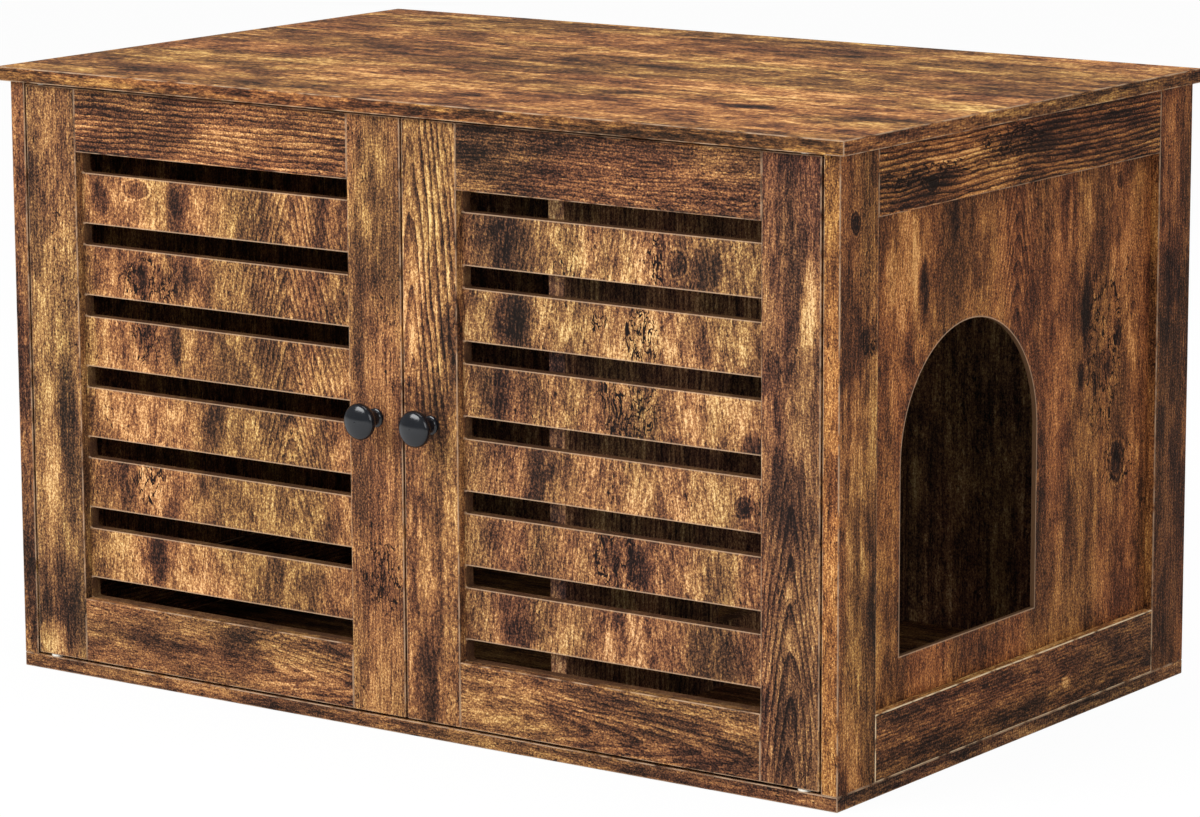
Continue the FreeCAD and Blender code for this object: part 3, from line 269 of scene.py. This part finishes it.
def print_layers(
    finish,
    axes,
    seed,
    tone,
    streaks=0.6,
    mottle=0.6,
    drag=(1.0, 1.0),
    fine=(1.0, 1.0),
    speckle=1.75,
    tint=(1.0, 1.0, 1.0),
    bands=(),
    figure=None,
    patches=(),
    knots=(),
    cracks=(),
    specks=0.4,
):
    """The printed wood of one board.

    ``axes`` names the directions along the grain, across it and into the board. ``tone`` runs from 0,
    charcoal, to 1, honey. ``drag`` is how close its blotches lie along and across the grain, ``fine`` how
    close its fibres and grit lie, and ``speckle`` how strong the grit is. Each of the edge ``bands`` has the
    direction that it faces, the directions along, across and into it, and its change of tone. ``figure``
    holds the growth lines: the line they arch about, how wide the arch is, how fast it tapers, the lines'
    spacing, their depth and where they are strong. A patch or a knot is (along, across, half length, half
    width, change of tone) in mm; a field of cracks is the same without the change. ``specks`` is how dark
    the small dots are, and ``tint`` a factor for each colour channel.
    """
    place = finish.coordinates()
    parts = finish.separated(place)
    along, across, inward = (parts.pick("XYZ".index(axis)) for axis in axes)
    grain = finish.node("ShaderNodeCombineXYZ", {}, {0: along, 1: across, 2: inward})
    for facing, band_axes, band_tone in bands:
        normal = finish.separated(place.pick("Normal"))
        on_band = abs(normal.pick("XYZ".index(facing))).step(0.6, 0.75)
        down, over, deep = (parts.pick("XYZ".index(axis)) for axis in band_axes)
        band = finish.node("ShaderNodeCombineXYZ", {}, {0: down, 1: over / fine[1], 2: deep})
        sockets = {0: on_band, 4: grain, 5: band}
        grain = finish.node("ShaderNodeMix", {"data_type": "VECTOR"}, sockets).pick(1)
        tone = on_band * band_tone + tone

    def field(along_scale, across_scale, detail=2.0, roughness=0.5, distortion=0.0, offset=0.0):
        """Noise with a size of its own along and across the grain. The offset sets it apart from others."""
        scale = (along_scale, across_scale, across_scale)
        shift = (seed * 3.1 + offset, seed * 1.7 + offset, seed * 0.9)
        return finish.noise(finish.scaled(grain, scale, shift), detail, roughness, distortion)

    ragged = field(26, 60, 4.0, 0.6).pick(1)

    def strayed(stray):
        """The grain's coordinates, which the ragged noise pushes about along and across the grain."""
        push = (stray[0], stray[1], stray[1])
        centred = finish.scaled(grain, (1, 1, 1), tuple(-length / 2 for length in push))
        return finish.scaled(ragged, push, centred)

    def near(vector, where, spread, spread_across=None):
        """1 in the middle of a spot given in mm, falling to 0 at its half length and width times a spread."""
        middle_along, middle_across, half_length, half_width = where
        middle = (middle_along * MM, middle_across * MM, 0)
        reach_along = half_length * spread * MM
        reach_across = half_width * (spread_across or spread) * MM
        return finish.spot(vector, middle, (reach_along, reach_across, RIGHT_THROUGH))

    # The ground: clouds of tone with frayed edges, streaks, dashes, fibres and grit.
    torn = strayed(PATCH_STRAY)
    nudged = strayed(KNOT_STRAY)
    cloud = field(9 * drag[0], 26 * drag[1], 6.0, 0.66, 0.35)
    streak = field(8 * drag[0], 150 * drag[1], 5.0, 0.68, offset=5.0)
    dashes = field(24 * drag[0], 70 * drag[1], 5.0, 0.72, 0.5, offset=7.0)
    fibre = field(110 * fine[0], 800 * fine[1], 2.0, 0.7, offset=9.0)
    grit = field(540 * fine[0], 660 * fine[1], 3.0, 0.75, offset=13.0)
    pores = field(120, 1500, 1.0, 0.5, offset=17.0).step(0.60, 0.72)
    frayed = (streak - 0.5) * 0.28 + (dashes - 0.5) * 0.40 + (fibre - 0.5) * 0.22
    level = ((cloud + frayed).step(0.34, 0.66) - 0.5) * CLOUD_DEPTH + tone
    level = level + (streak - 0.5) * (STREAK_DEPTH * streaks) + (dashes - 0.5) * mottle
    level = level + (fibre - 0.5) * FIBRE_DEPTH + (grit - 0.5) * speckle

    for *where, change in patches:
        level = level + (near(torn, where, 1.9) + frayed).step(0.26, 0.66) * change

    # The growth lines, which bend round the knots.
    lines_are = {**STRAIGHT_FIGURE, **(figure or {})}
    wander = field(7, 26, offset=21.0) - 0.5
    shiver = field(50, 170, offset=25.0) - 0.5
    aside = across - lines_are["centre"] + wander * FIGURE_WANDER + shiver * FIGURE_SHIVER
    arch = (aside * aside + lines_are["width"] ** 2).root()
    growth = arch + along * lines_are["taper"] + wander * 0.004
    for *where, change in knots:
        half_width = where[3]
        heart = near(nudged, where, 1.5)
        growth = growth + near(grain, where, 5, 3) * (half_width * 0.9 * MM)
        rings = (heart * KNOT_TURNS).sine() * heart.step(0.0, 0.2) * heart.step(0.75, 0.45)
        level = level + (heart.step(0.12, 0.60) + rings * RING_DEPTH) * change
    phase = (growth / lines_are["spacing"]).fraction()
    lines = phase.step(0.25, 0.95) * phase.step(1.0, 0.94) * (streak * 1.6 + 0.2)
    depth = lines_are["depth"]
    if lines_are["within"]:
        strong = near(torn, lines_are["within"], 1.5).step(0.0, 0.6)
        depth = strong * (depth - FAINTEST_FIGURE) + FAINTEST_FIGURE
    level = level - lines * depth

    # Dark dots, cracks and pores.
    if specks:
        dots = field(190, 400, 2.0, 0.55, offset=31.0).step(0.615, 0.68)
        level = level - dots * field(9, 22, offset=35.0).step(0.50, 0.62) * specks
    for where in cracks:
        split = abs(field(46, 120, 3.0, 0.6, 0.6, offset=41.0) - 0.5).step(0.030, 0.008)
        level = level - split * near(torn, where, 1.4).step(0.0, 0.3) * CRACK_DEPTH
    level = level - pores * PORE_DEPTH

    colour = finish.node("ShaderNodeValToRGB", {"stops": PRINT_TONES}, {0: level})
    warm, cool = (
        finish.mixed(1.0, colour, (*(a * b for a, b in zip(tint, cast)), 1), "MULTIPLY")
        for cast in (WARM_PRINT, COOL_PRINT)
    )
    colour = finish.mixed(field(4, 15, 3.0, offset=45.0).step(0.35, 0.65), warm, cool)
    height = level * 0.5 + fibre * 0.5 - pores * 0.5
    roughness = 0.62 - level * 0.16
    return colour, roughness, height, parts


def near_edge(parts, low, high, width):
    """1 within a width of a box's edges, where two of its faces meet."""
    gaps = []
    for axis in range(3):
        middle = (low[axis] + high[axis]) / 2
        gaps.append((high[axis] - low[axis]) / 2 - abs(parts.pick(axis) - middle))
    first, second, third = gaps
    larger = first.most(second)
    smaller = first.least(second)
    return smaller.most(larger.least(third)).step(width, width * 0.55)


def lay_foil(node, finish, colour, roughness, height):
    """Puts a finished print on its board."""
    foil = finish.surface(colour, roughness, height, FOIL_RELIEF, shine=FOIL_SHINE)
    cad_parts[node].data.materials[0] = foil


def print_board(node, axes, seed, tone, edge_highlight=0.6, line=ARRIS_HIGHLIGHT, **marks):
    """Gives a board its printed foil, with a painted highlight along its edges, broken up unevenly."""
    finish = Finish(node + "_print")
    colour, roughness, height, parts = print_layers(finish, axes, seed, tone, **marks)
    low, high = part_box(node)
    # A painted highlight along the edges, where the arrises catch the light; noise breaks it up unevenly.
    edge = near_edge(parts, low, high, ARRIS_WIDTH)
    highlight_breakup = finish.noise(finish.scaled(finish.coordinates(), HIGHLIGHT_BREAKUP_SIZE)).step(0.30, 0.62)
    lay_foil(node, finish, finish.mixed(edge * highlight_breakup * edge_highlight, colour, line), roughness, height)


print_board(
    "top_board",
    "XYZ",
    seed=3.0,
    tone=0.57,
    edge_highlight=0.9,
    streaks=0.6,
    mottle=1.15,
    drag=(1.05, 0.72),
    fine=(0.45, 0.36),
    speckle=1.3,
    tint=(1.04, 0.98, 0.84),
    bands=[("X", "YZX", -0.08), ("Y", "XZY", -0.12)],
    patches=[
        (260, -60, 190, 60, 0.16),
        (-40, -160, 150, 40, 0.10),
        (-250, -110, 120, 25, 0.10),
        (60, 90, 120, 25, 0.12),
        (-80, 20, 240, 30, -0.16),
        (100, 180, 80, 40, -0.26),
        (-355, 125, 40, 25, -0.26),
        (250, 190, 50, 20, -0.20),
        (120, -130, 26, 10, -0.34),
        (245, -150, 34, 11, -0.34),
        (190, -112, 34, 7, -0.30),
        (20, -212, 24, 8, -0.28),
        (385, -155, 40, 18, -0.28),
        (60, -80, 40, 9, -0.24),
        (-140, -245, 90, 20, -0.22),
        (-290, -225, 50, 20, -0.22),
    ],
    figure=dict(depth=0.08),
    specks=0.3,
)

# ---- Base board ---------------------------------------------------------------------------------
# The same 12 mm foiled board, flat on the floor. Screws go up through it into the uprights, and its
# front and side edges show as a thin plinth.

print_board(
    "bottom_board",
    "XYZ",
    seed=7.0,
    tone=0.44,
    edge_highlight=0.9,
    streaks=1.3,
    bands=[("X", "YZX", -0.04)],
    figure=dict(depth=0.14, spacing=0.003),
)

# ---- Side frames --------------------------------------------------------------------------------
# Each side has two 15 mm posts with vertical print and two rails with level print dowelled between
# them, all of foiled board. Cams and bolts hold the posts to the top board.

print_board(
    "right_front_post",
    "ZYX",
    seed=11.0,
    tone=0.47,
    bands=[("Y", "ZXY", 0.11)],
    edge_highlight=0.9,
    streaks=0.9,
    mottle=0.45,
    tint=(1.00, 0.90, 0.76),
    knots=[(453, -250, 9, 7, -0.42)],
    cracks=[(362, -226, 12, 12)],
    patches=[
        (480, -245, 40, 40, -0.07),
        (362, -228, 12, 14, -0.35),
        (330, -222, 60, 10, 0.18),
        (200, -245, 110, 14, 0.14),
        (80, -250, 70, 12, 0.12),
        (160, -222, 60, 10, -0.16),
    ],
)
# Painted light: its faces turned to the front and back are lightened, mainly the reveal beside the side
# panel, which stands in shade.
print_board(
    "right_back_post",
    "ZYX",
    seed=13.0,
    tone=0.38,
    edge_highlight=0.9,
    mottle=0.45,
    tint=(1.0, 0.84, 0.70),
    bands=[("Y", "ZXY", 0.12)],
    patches=[
        (330, 240, 50, 24, -0.16),
        (180, 240, 90, 22, -0.12),
        (60, 240, 60, 24, -0.10),
        (440, 235, 60, 12, 0.12),
    ],
)
print_board("left_front_post", "ZYX", seed=17.0, tone=0.43, edge_highlight=0.8, bands=[("Y", "ZXY", -0.04)])
print_board("left_back_post", "ZYX", seed=19.0, tone=0.40, edge_highlight=0.8)
print_board(
    "right_top_rail",
    "YZX",
    seed=23.0,
    tone=0.49,
    edge_highlight=0.7,
    streaks=1.5,
    tint=(1.0, 0.84, 0.68),
    knots=[(-140, 472, 10, 6, -0.42)],
    cracks=[(-150, 478, 60, 8), (-20, 492, 40, 10)],
    patches=[
        (-110, 490, 70, 12, 0.20),
        (-40, 470, 60, 12, 0.16),
        (-130, 472, 30, 8, -0.25),
        (60, 480, 50, 20, -0.12),
        (150, 495, 60, 14, -0.16),
    ],
    figure=dict(depth=0.44, spacing=0.0042),
)
# Painted light: the rail's top face, the ledge under the side panel, is lightened by its band of tone, and
# its painted edge highlight is made brighter and paler.
print_board(
    "right_bottom_rail",
    "YZX",
    seed=29.0,
    tone=0.38,
    edge_highlight=1.8,
    line=srgb(226, 200, 162),
    streaks=0.9,
    tint=(1.0, 0.90, 0.80),
    bands=[("Z", "YXZ", 0.40)],
    patches=[(76, 34, 7, 5, 0.30), (-150, 45, 80, 10, 0.10)],
    figure=dict(depth=0.16, spacing=0.003),
)
print_board("left_top_rail", "YZX", seed=31.0, tone=0.45, edge_highlight=0.7, figure=dict(depth=0.2))
print_board("left_bottom_rail", "YZX", seed=37.0, tone=0.42, edge_highlight=0.9, figure=dict(depth=0.2))

# ---- Side panels --------------------------------------------------------------------------------
# Thin 4 mm foiled boards in grooves of the frames, with vertical print. The right one has the cat's
# entrance, with a plain sawn edge and a thin pale painted highlight round it.

SAWN_EDGE = srgb(104, 76, 54)
ARCH_MIDDLE = -0.068
ARCH_HALF = 0.103
ARCH_SILL = 0.102
ARCH_SPRING = 0.252
RIM_LINE = 0.0014
RIM_LINE_CORE = 0.0005


def print_sheet(node, seed, tone, arched=False, **marks):
    """Gives a thin upright sheet its print. An arch's sawn edge is bare, ringed by a thin painted highlight.
    """
    finish = Finish(node + "_print")
    colour, roughness, height, parts = print_layers(finish, "ZYX", seed, tone, **marks)
    if arched:
        facing = abs(finish.separated(finish.coordinates("Normal")))
        aside = abs(parts.pick(1) - ARCH_MIDDLE)
        above = (parts.pick(2) - ARCH_SPRING).most(0)
        outside = (aside * aside + above * above).root() - ARCH_HALF
        under = abs(parts.pick(2) - ARCH_SILL)
        rim = abs(outside).most(ARCH_SILL - parts.pick(2)).least(under.most(outside))
        # Painted highlight: a thin pale line on the face round the arch's rim and along its sill.
        line = rim.step(RIM_LINE, RIM_LINE_CORE) * facing.step(0.6, 0.9) * 0.7
        colour = finish.mixed(facing.step(0.6, 0.4), colour, SAWN_EDGE)
        colour = finish.mixed(line, colour, ARRIS_HIGHLIGHT)
    lay_foil(node, finish, colour, roughness, height)


print_sheet(
    "arch_panel",
    seed=41.0,
    tone=0.49,
    arched=True,
    streaks=0.7,
    mottle=0.5,
    drag=(1.1, 0.9),
    tint=(0.98, 0.80, 0.66),
    knots=[
        (437, 165, 9, 5, -0.3),
        (310, 166, 12, 5, -0.34),
        (201, 166, 17, 14, -0.34),
        (285, 152, 12, 5, -0.3),
    ],
    cracks=[(300, 140, 60, 26), (200, 165, 20, 24)],
    patches=[
        (410, -165, 60, 26, 0.22),
        (340, 112, 34, 6, -0.40),
        (282, 105, 12, 5, -0.36),
        (180, 40, 130, 16, -0.06),
        (385, -138, 26, 7, -0.36),
        (440, -95, 22, 8, -0.22),
        (425, 77, 40, 6, -0.26),
        (320, 150, 70, 26, 0.08),
        (200, 188, 110, 14, 0.16),
        (400, 110, 50, 16, 0.12),
        (250, 212, 180, 7, -0.10),
        (200, 40, 60, 12, -0.16),
        (330, -205, 120, 10, -0.16),
        (90, -60, 16, 60, -0.12),
        (120, 40, 40, 20, -0.12),
        (205, 34, 8, 5, 0.3),
    ],
    figure=dict(centre=0.003, width=0.010, taper=0.22, spacing=0.0042, depth=0.26, within=(400, 3, 70, 26)),
    specks=0.42,
)
print_sheet("left_panel", seed=43.0, tone=0.46)

# ---- Back panel and divider ---------------------------------------------------------------------
# A 4 mm back in grooves, and a 15 mm divider with its own arched passage. Both are foiled boards with
# vertical print and stand in the shade.

INNER_TINT = (1.00, 1.14, 1.40)
INNER_STREAKS = 0.8


def print_inner(node, axes, seed, tone, **marks):
    """Gives an inner panel its print, with bare edges."""
    finish = Finish(node + "_print")
    marks = dict(marks, streaks=INNER_STREAKS, tint=INNER_TINT)
    colour, roughness, height, _ = print_layers(finish, axes, seed, tone, **marks)
    lay_foil(node, finish, colour, roughness, height)


print_inner("back_panel", "ZXY", seed=47.0, tone=0.51, figure=dict(depth=0.14, spacing=0.012))
print_inner("divider", "ZYX", seed=53.0, tone=0.54, figure=dict(depth=0.2, spacing=0.007))

# ---- Doors --------------------------------------------------------------------------------------
# Each door is a dowelled frame of two upright stiles and two level rails, 18 mm thick, with a slotted
# board screwed into a rebate behind it. The board's print runs upright across all its slats.

print_board(
    "left_hinge_stile",
    "ZXY",
    seed=59.0,
    tone=0.535,
    edge_highlight=0.8,
    tint=(0.96, 1.05, 1.04),
    patches=[
        (60, -375, 40, 30, -0.22),
        (30, -385, 18, 16, 0.26),
        (225, -362, 50, 10, -0.24),
        (430, -398, 22, 5, -0.32),
        (180, -378, 34, 12, 0.12),
        (300, -385, 60, 8, 0.08),
        (370, -372, 80, 14, 0.06),
    ],
    specks=0.5,
)
print_board(
    "left_meeting_stile",
    "ZXY",
    seed=61.0,
    tone=0.52,
    edge_highlight=0.8,
    mottle=0.35,
    patches=[
        (330, -44, 44, 6, -0.24),
        (372, -30, 12, 8, -0.12),
        (130, -20, 20, 14, -0.08),
        (60, -30, 50, 16, 0.08),
    ],
    cracks=[(128, -22, 24, 16)],
    specks=0.5,
)
print_board(
    "right_meeting_stile",
    "ZXY",
    seed=67.0,
    tone=0.57,
    edge_highlight=0.8,
    streaks=0.8,
    patches=[
        (400, 20, 110, 26, 0.20),
        (270, 28, 24, 14, -0.14),
        (60, 28, 60, 14, -0.14),
    ],
    figure=dict(centre=0.010, width=0.006, taper=0.10, spacing=0.0062, depth=0.48, within=(400, 28, 130, 28)),
)
print_board(
    "right_hinge_stile",
    "ZXY",
    seed=71.0,
    tone=0.46,
    edge_highlight=0.8,
    streaks=0.8,
    tint=(1.0, 0.98, 1.10),
    patches=[
        (460, 372, 60, 30, -0.12),
        (390, 388, 34, 7, 0.24),
        (330, 384, 50, 8, 0.12),
        (250, 365, 40, 14, -0.10),
        (90, 385, 60, 16, 0.03),
    ],
    figure=dict(
        centre=0.372, width=0.008, taper=0.12, spacing=0.0045, depth=0.36, within=(120, 372, 120, 26)
    ),
)
print_board(
    "left_door_top_rail",
    "XZY",
    seed=73.0,
    tone=0.52,
    edge_highlight=0.8,
    streaks=0.9,
    tint=(1.0, 0.92, 0.94),
    patches=[(-320, 488, 40, 10, -0.10), (-230, 492, 60, 8, -0.08), (-130, 476, 90, 12, 0.10)],
    figure=dict(depth=0.34, spacing=0.0046),
)
print_board(
    "right_door_top_rail",
    "XZY",
    seed=79.0,
    tone=0.40,
    edge_highlight=0.8,
    patches=[
        (75, 492, 34, 16, -0.16),
        (190, 498, 60, 10, -0.10),
        (200, 472, 80, 14, 0.06),
        (290, 480, 60, 20, 0.05),
    ],
    figure=dict(depth=0.18, spacing=0.0034),
)
print_board(
    "left_door_bottom_rail",
    "XZY",
    seed=83.0,
    tone=0.49,
    edge_highlight=0.9,
    patches=[(-270, 45, 30, 20, -0.18), (-175, 40, 20, 20, -0.16), (-100, 40, 40, 16, 0.12)],
    figure=dict(centre=0.035, width=0.008, taper=0.09, spacing=0.0040, depth=0.26, within=(-80, 40, 60, 24)),
)
print_board(
    "right_door_bottom_rail",
    "XZY",
    seed=89.0,
    tone=0.52,
    edge_highlight=0.9,
    patches=[(325, 32, 26, 12, -0.20), (150, 45, 80, 16, 0.06)],
    figure=dict(centre=0.030, width=0.010, taper=0.08, spacing=0.0042, depth=0.28, within=(230, 40, 110, 24)),
)

SLOT_BOTTOM = 0.068
SLOT_HEIGHT = 0.018
SLOT_PITCH = 0.061
SLOT_EDGE = srgb(82, 56, 40)
SLOT_LINE = 0.0013
SLOT_LINE_CORE = 0.0005
SLOT_COVER = 0.75


def print_slats(node, seed, tone, **marks):
    """The slotted board's print, with a painted highlight in pale lines along every slot."""
    finish = Finish(node + "_print")
    colour, roughness, height, parts = print_layers(finish, "ZXY", seed, tone, **marks)
    turns = (parts.pick(2) - SLOT_BOTTOM) / SLOT_PITCH
    cycle = (turns + 1).fraction() * SLOT_PITCH
    from_edge = abs(cycle).least(abs(cycle - SLOT_HEIGHT)).least(abs(cycle - SLOT_PITCH))
    facing = abs(finish.separated(finish.coordinates("Normal")).pick(1))
    colour = finish.mixed(facing.step(0.6, 0.4) * SLOT_COVER, colour, SLOT_EDGE)
    # Painted highlight: pale lines on the front face along every slot's edges.
    arris = from_edge.step(SLOT_LINE, SLOT_LINE_CORE) * facing.step(0.6, 0.9)
    lay_foil(node, finish, finish.mixed(arris * SLOT_COVER, colour, ARRIS_HIGHLIGHT), roughness, height)


print_slats(
    "left_slotted_panel",
    seed=97.0,
    tone=0.57,
    mottle=0.7,
    drag=(1.5, 0.9),
    specks=0.5,
    knots=[(425, -287, 8, 14, -0.34)],
    cracks=[(345, -275, 20, 24), (300, -280, 20, 14), (180, -280, 18, 14)],
    patches=[
        (410, -290, 30, 40, 0.10),
        (412, -325, 14, 10, -0.26),
        (410, -245, 20, 8, -0.24),
        (352, -285, 16, 10, -0.28),
        (350, -240, 18, 9, -0.30),
        (296, -245, 22, 7, -0.36),
        (240, -290, 40, 40, 0.14),
        (235, -205, 26, 8, -0.26),
        (180, -302, 24, 10, -0.26),
        (175, -270, 30, 16, 0.18),
        (170, -212, 30, 12, -0.20),
        (110, -270, 24, 10, -0.28),
        (115, -305, 34, 24, 0.12),
        (112, -232, 34, 16, 0.14),
        (110, -142, 26, 10, -0.30),
        (410, -80, 40, 20, -0.10),
    ],
    figure=dict(
        centre=-0.122, width=0.007, taper=0.26, spacing=0.0052, depth=0.30, within=(320, -120, 150, 46)
    ),
)
print_slats(
    "right_slotted_panel",
    seed=101.0,
    tone=0.55,
    mottle=0.7,
    drag=(1.5, 0.9),
    tint=(0.98, 1.0, 1.07),
    specks=0.5,
    knots=[(411, 263, 10, 10, -0.34), (226, 325, 9, 9, -0.34)],
    cracks=[(412, 244, 22, 5), (350, 228, 18, 14), (295, 215, 24, 26), (170, 205, 26, 18), (360, 190, 8, 6)],
    patches=[
        (412, 95, 24, 26, -0.34),
        (410, 190, 24, 60, 0.14),
        (408, 292, 20, 12, -0.24),
        (352, 104, 24, 18, -0.32),
        (350, 240, 24, 90, 0.14),
        (350, 290, 18, 10, -0.22),
        (295, 85, 24, 18, -0.32),
        (300, 280, 24, 50, 0.12),
        (270, 335, 14, 12, -0.40),
        (230, 110, 30, 60, -0.12),
        (230, 270, 24, 70, 0.12),
        (170, 110, 24, 50, -0.06),
        (168, 225, 24, 12, -0.26),
        (115, 215, 34, 20, 0.18),
        (98, 110, 14, 18, -0.22),
        (112, 208, 22, 8, -0.28),
        (110, 290, 24, 40, -0.10),
    ],
    figure=dict(centre=0.240, width=0.010, taper=0.20, spacing=0.0050, depth=0.14),
)

# ---- Knobs --------------------------------------------------------------------------------------
# Turned mushroom knobs, 30 mm across, in glossy black paint. Each is held by a screw from behind its
# stile.

KNOB_BLACK = srgb(11, 13, 17)
KNOB_SMUDGED = srgb(18, 21, 27)
ORANGE_PEEL_SIZE = (900, 900, 900)
ORANGE_PEEL_RELIEF = 0.00002
SMUDGE_SIZE = (90, 90, 90)

for side in ("left", "right"):
    finish = Finish(side + "_knob_paint")
    place = finish.coordinates()
    orange_peel = finish.noise(finish.scaled(place, ORANGE_PEEL_SIZE), 3.0)
    smudge = finish.noise(finish.scaled(place, SMUDGE_SIZE), 3.0)
    paint = finish.mixed(smudge, KNOB_BLACK, KNOB_SMUDGED)
    gloss = 0.10 + smudge * 0.10
    knob_paint = finish.surface(paint, gloss, orange_peel, ORANGE_PEEL_RELIEF, shine=0.4)
    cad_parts[side + "_knob"].data.materials[0] = knob_paint

# ---- Fasteners, pivots and catches --------------------------------------------------------------
# Zinc-plated screws, bolts, pins and strike plates, cast cam discs, beech dowels, nylon bushes and dark
# plastic catches with a ferrite magnet between two steel plates.

SCREW_STEEL = srgb(196, 192, 182)
PLATE_STEEL = srgb(200, 198, 192)
CAST_ZINC = srgb(168, 168, 170)
NYLON = srgb(222, 219, 208)
CATCH_PLASTIC = srgb(62, 44, 34)
FERRITE = srgb(52, 52, 54)
BEECH = srgb(214, 182, 138)
RUB_MARKS = (500, 500, 90)
RUB_RELIEF = 0.00003
STAIN_SIZE = (70, 70, 70)
MOTTLE_SIZE = (60, 60, 60)


def bright_metal(node, tint, roughness, spread):
    """Plated or cast metal, its shine rubbed unevenly and its colour faintly stained."""
    finish = Finish(node + "_metal")
    place = finish.coordinates()
    rub = finish.noise(finish.scaled(place, RUB_MARKS), 4.0, 0.6)
    stain = finish.noise(finish.scaled(place, STAIN_SIZE), 3.0)
    colour = finish.mixed(stain, tint, tuple(channel * 0.72 for channel in tint[:3]) + (1.0,))
    metal = finish.surface(colour, roughness + rub * spread, rub, RUB_RELIEF, metallic=1.0)
    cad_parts[node].data.materials[0] = metal


for node in ("base_screws", "cam_bolts", "catch_screws", "catch_poles"):
    bright_metal(node, SCREW_STEEL, roughness=0.24, spread=0.2)
for side in ("left", "right"):
    for node in ("knob_screw", "panel_screws", "strike_screw", "strike_plate", "door_pins"):
        bright_metal(f"{side}_{node}", PLATE_STEEL, roughness=0.22, spread=0.2)
bright_metal("cam_discs", CAST_ZINC, roughness=0.38, spread=0.25)


def plain_part(node, tint, roughness, grain, relief, shade):
    """Moulded plastic, ceramic or sanded wood: a colour with slight mottling, and its own fine surface."""
    finish = Finish(node + "_finish")
    place = finish.coordinates()
    surface = finish.noise(finish.scaled(place, grain), 3.0, 0.6)
    mottle = finish.noise(finish.scaled(place, MOTTLE_SIZE), 2.0)
    deep = tuple(channel * shade for channel in tint[:3]) + (1.0,)
    colour = finish.mixed(mottle * 0.5 + surface * 0.5, tint, deep)
    moulded = finish.surface(colour, roughness + surface * 0.15, surface, relief)
    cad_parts[node].data.materials[0] = moulded


plain_part("pivot_bushes", NYLON, roughness=0.42, grain=(700, 700, 700), relief=0.00002, shade=0.9)
plain_part("catch_housings", CATCH_PLASTIC, roughness=0.45, grain=(900, 900, 900), relief=0.00004, shade=0.8)
plain_part("catch_magnets", FERRITE, roughness=0.55, grain=(1200, 1200, 1200), relief=0.00003, shade=0.75)
plain_part("top_dowels", BEECH, roughness=0.6, grain=(700, 700, 60), relief=0.00006, shade=0.75)
plain_part("frame_dowels", BEECH, roughness=0.6, grain=(700, 60, 700), relief=0.00006, shade=0.75)
for side in ("left", "right"):
    plain_part(side + "_door_dowels", BEECH, roughness=0.6, grain=(60, 700, 700), relief=0.00006, shade=0.75)
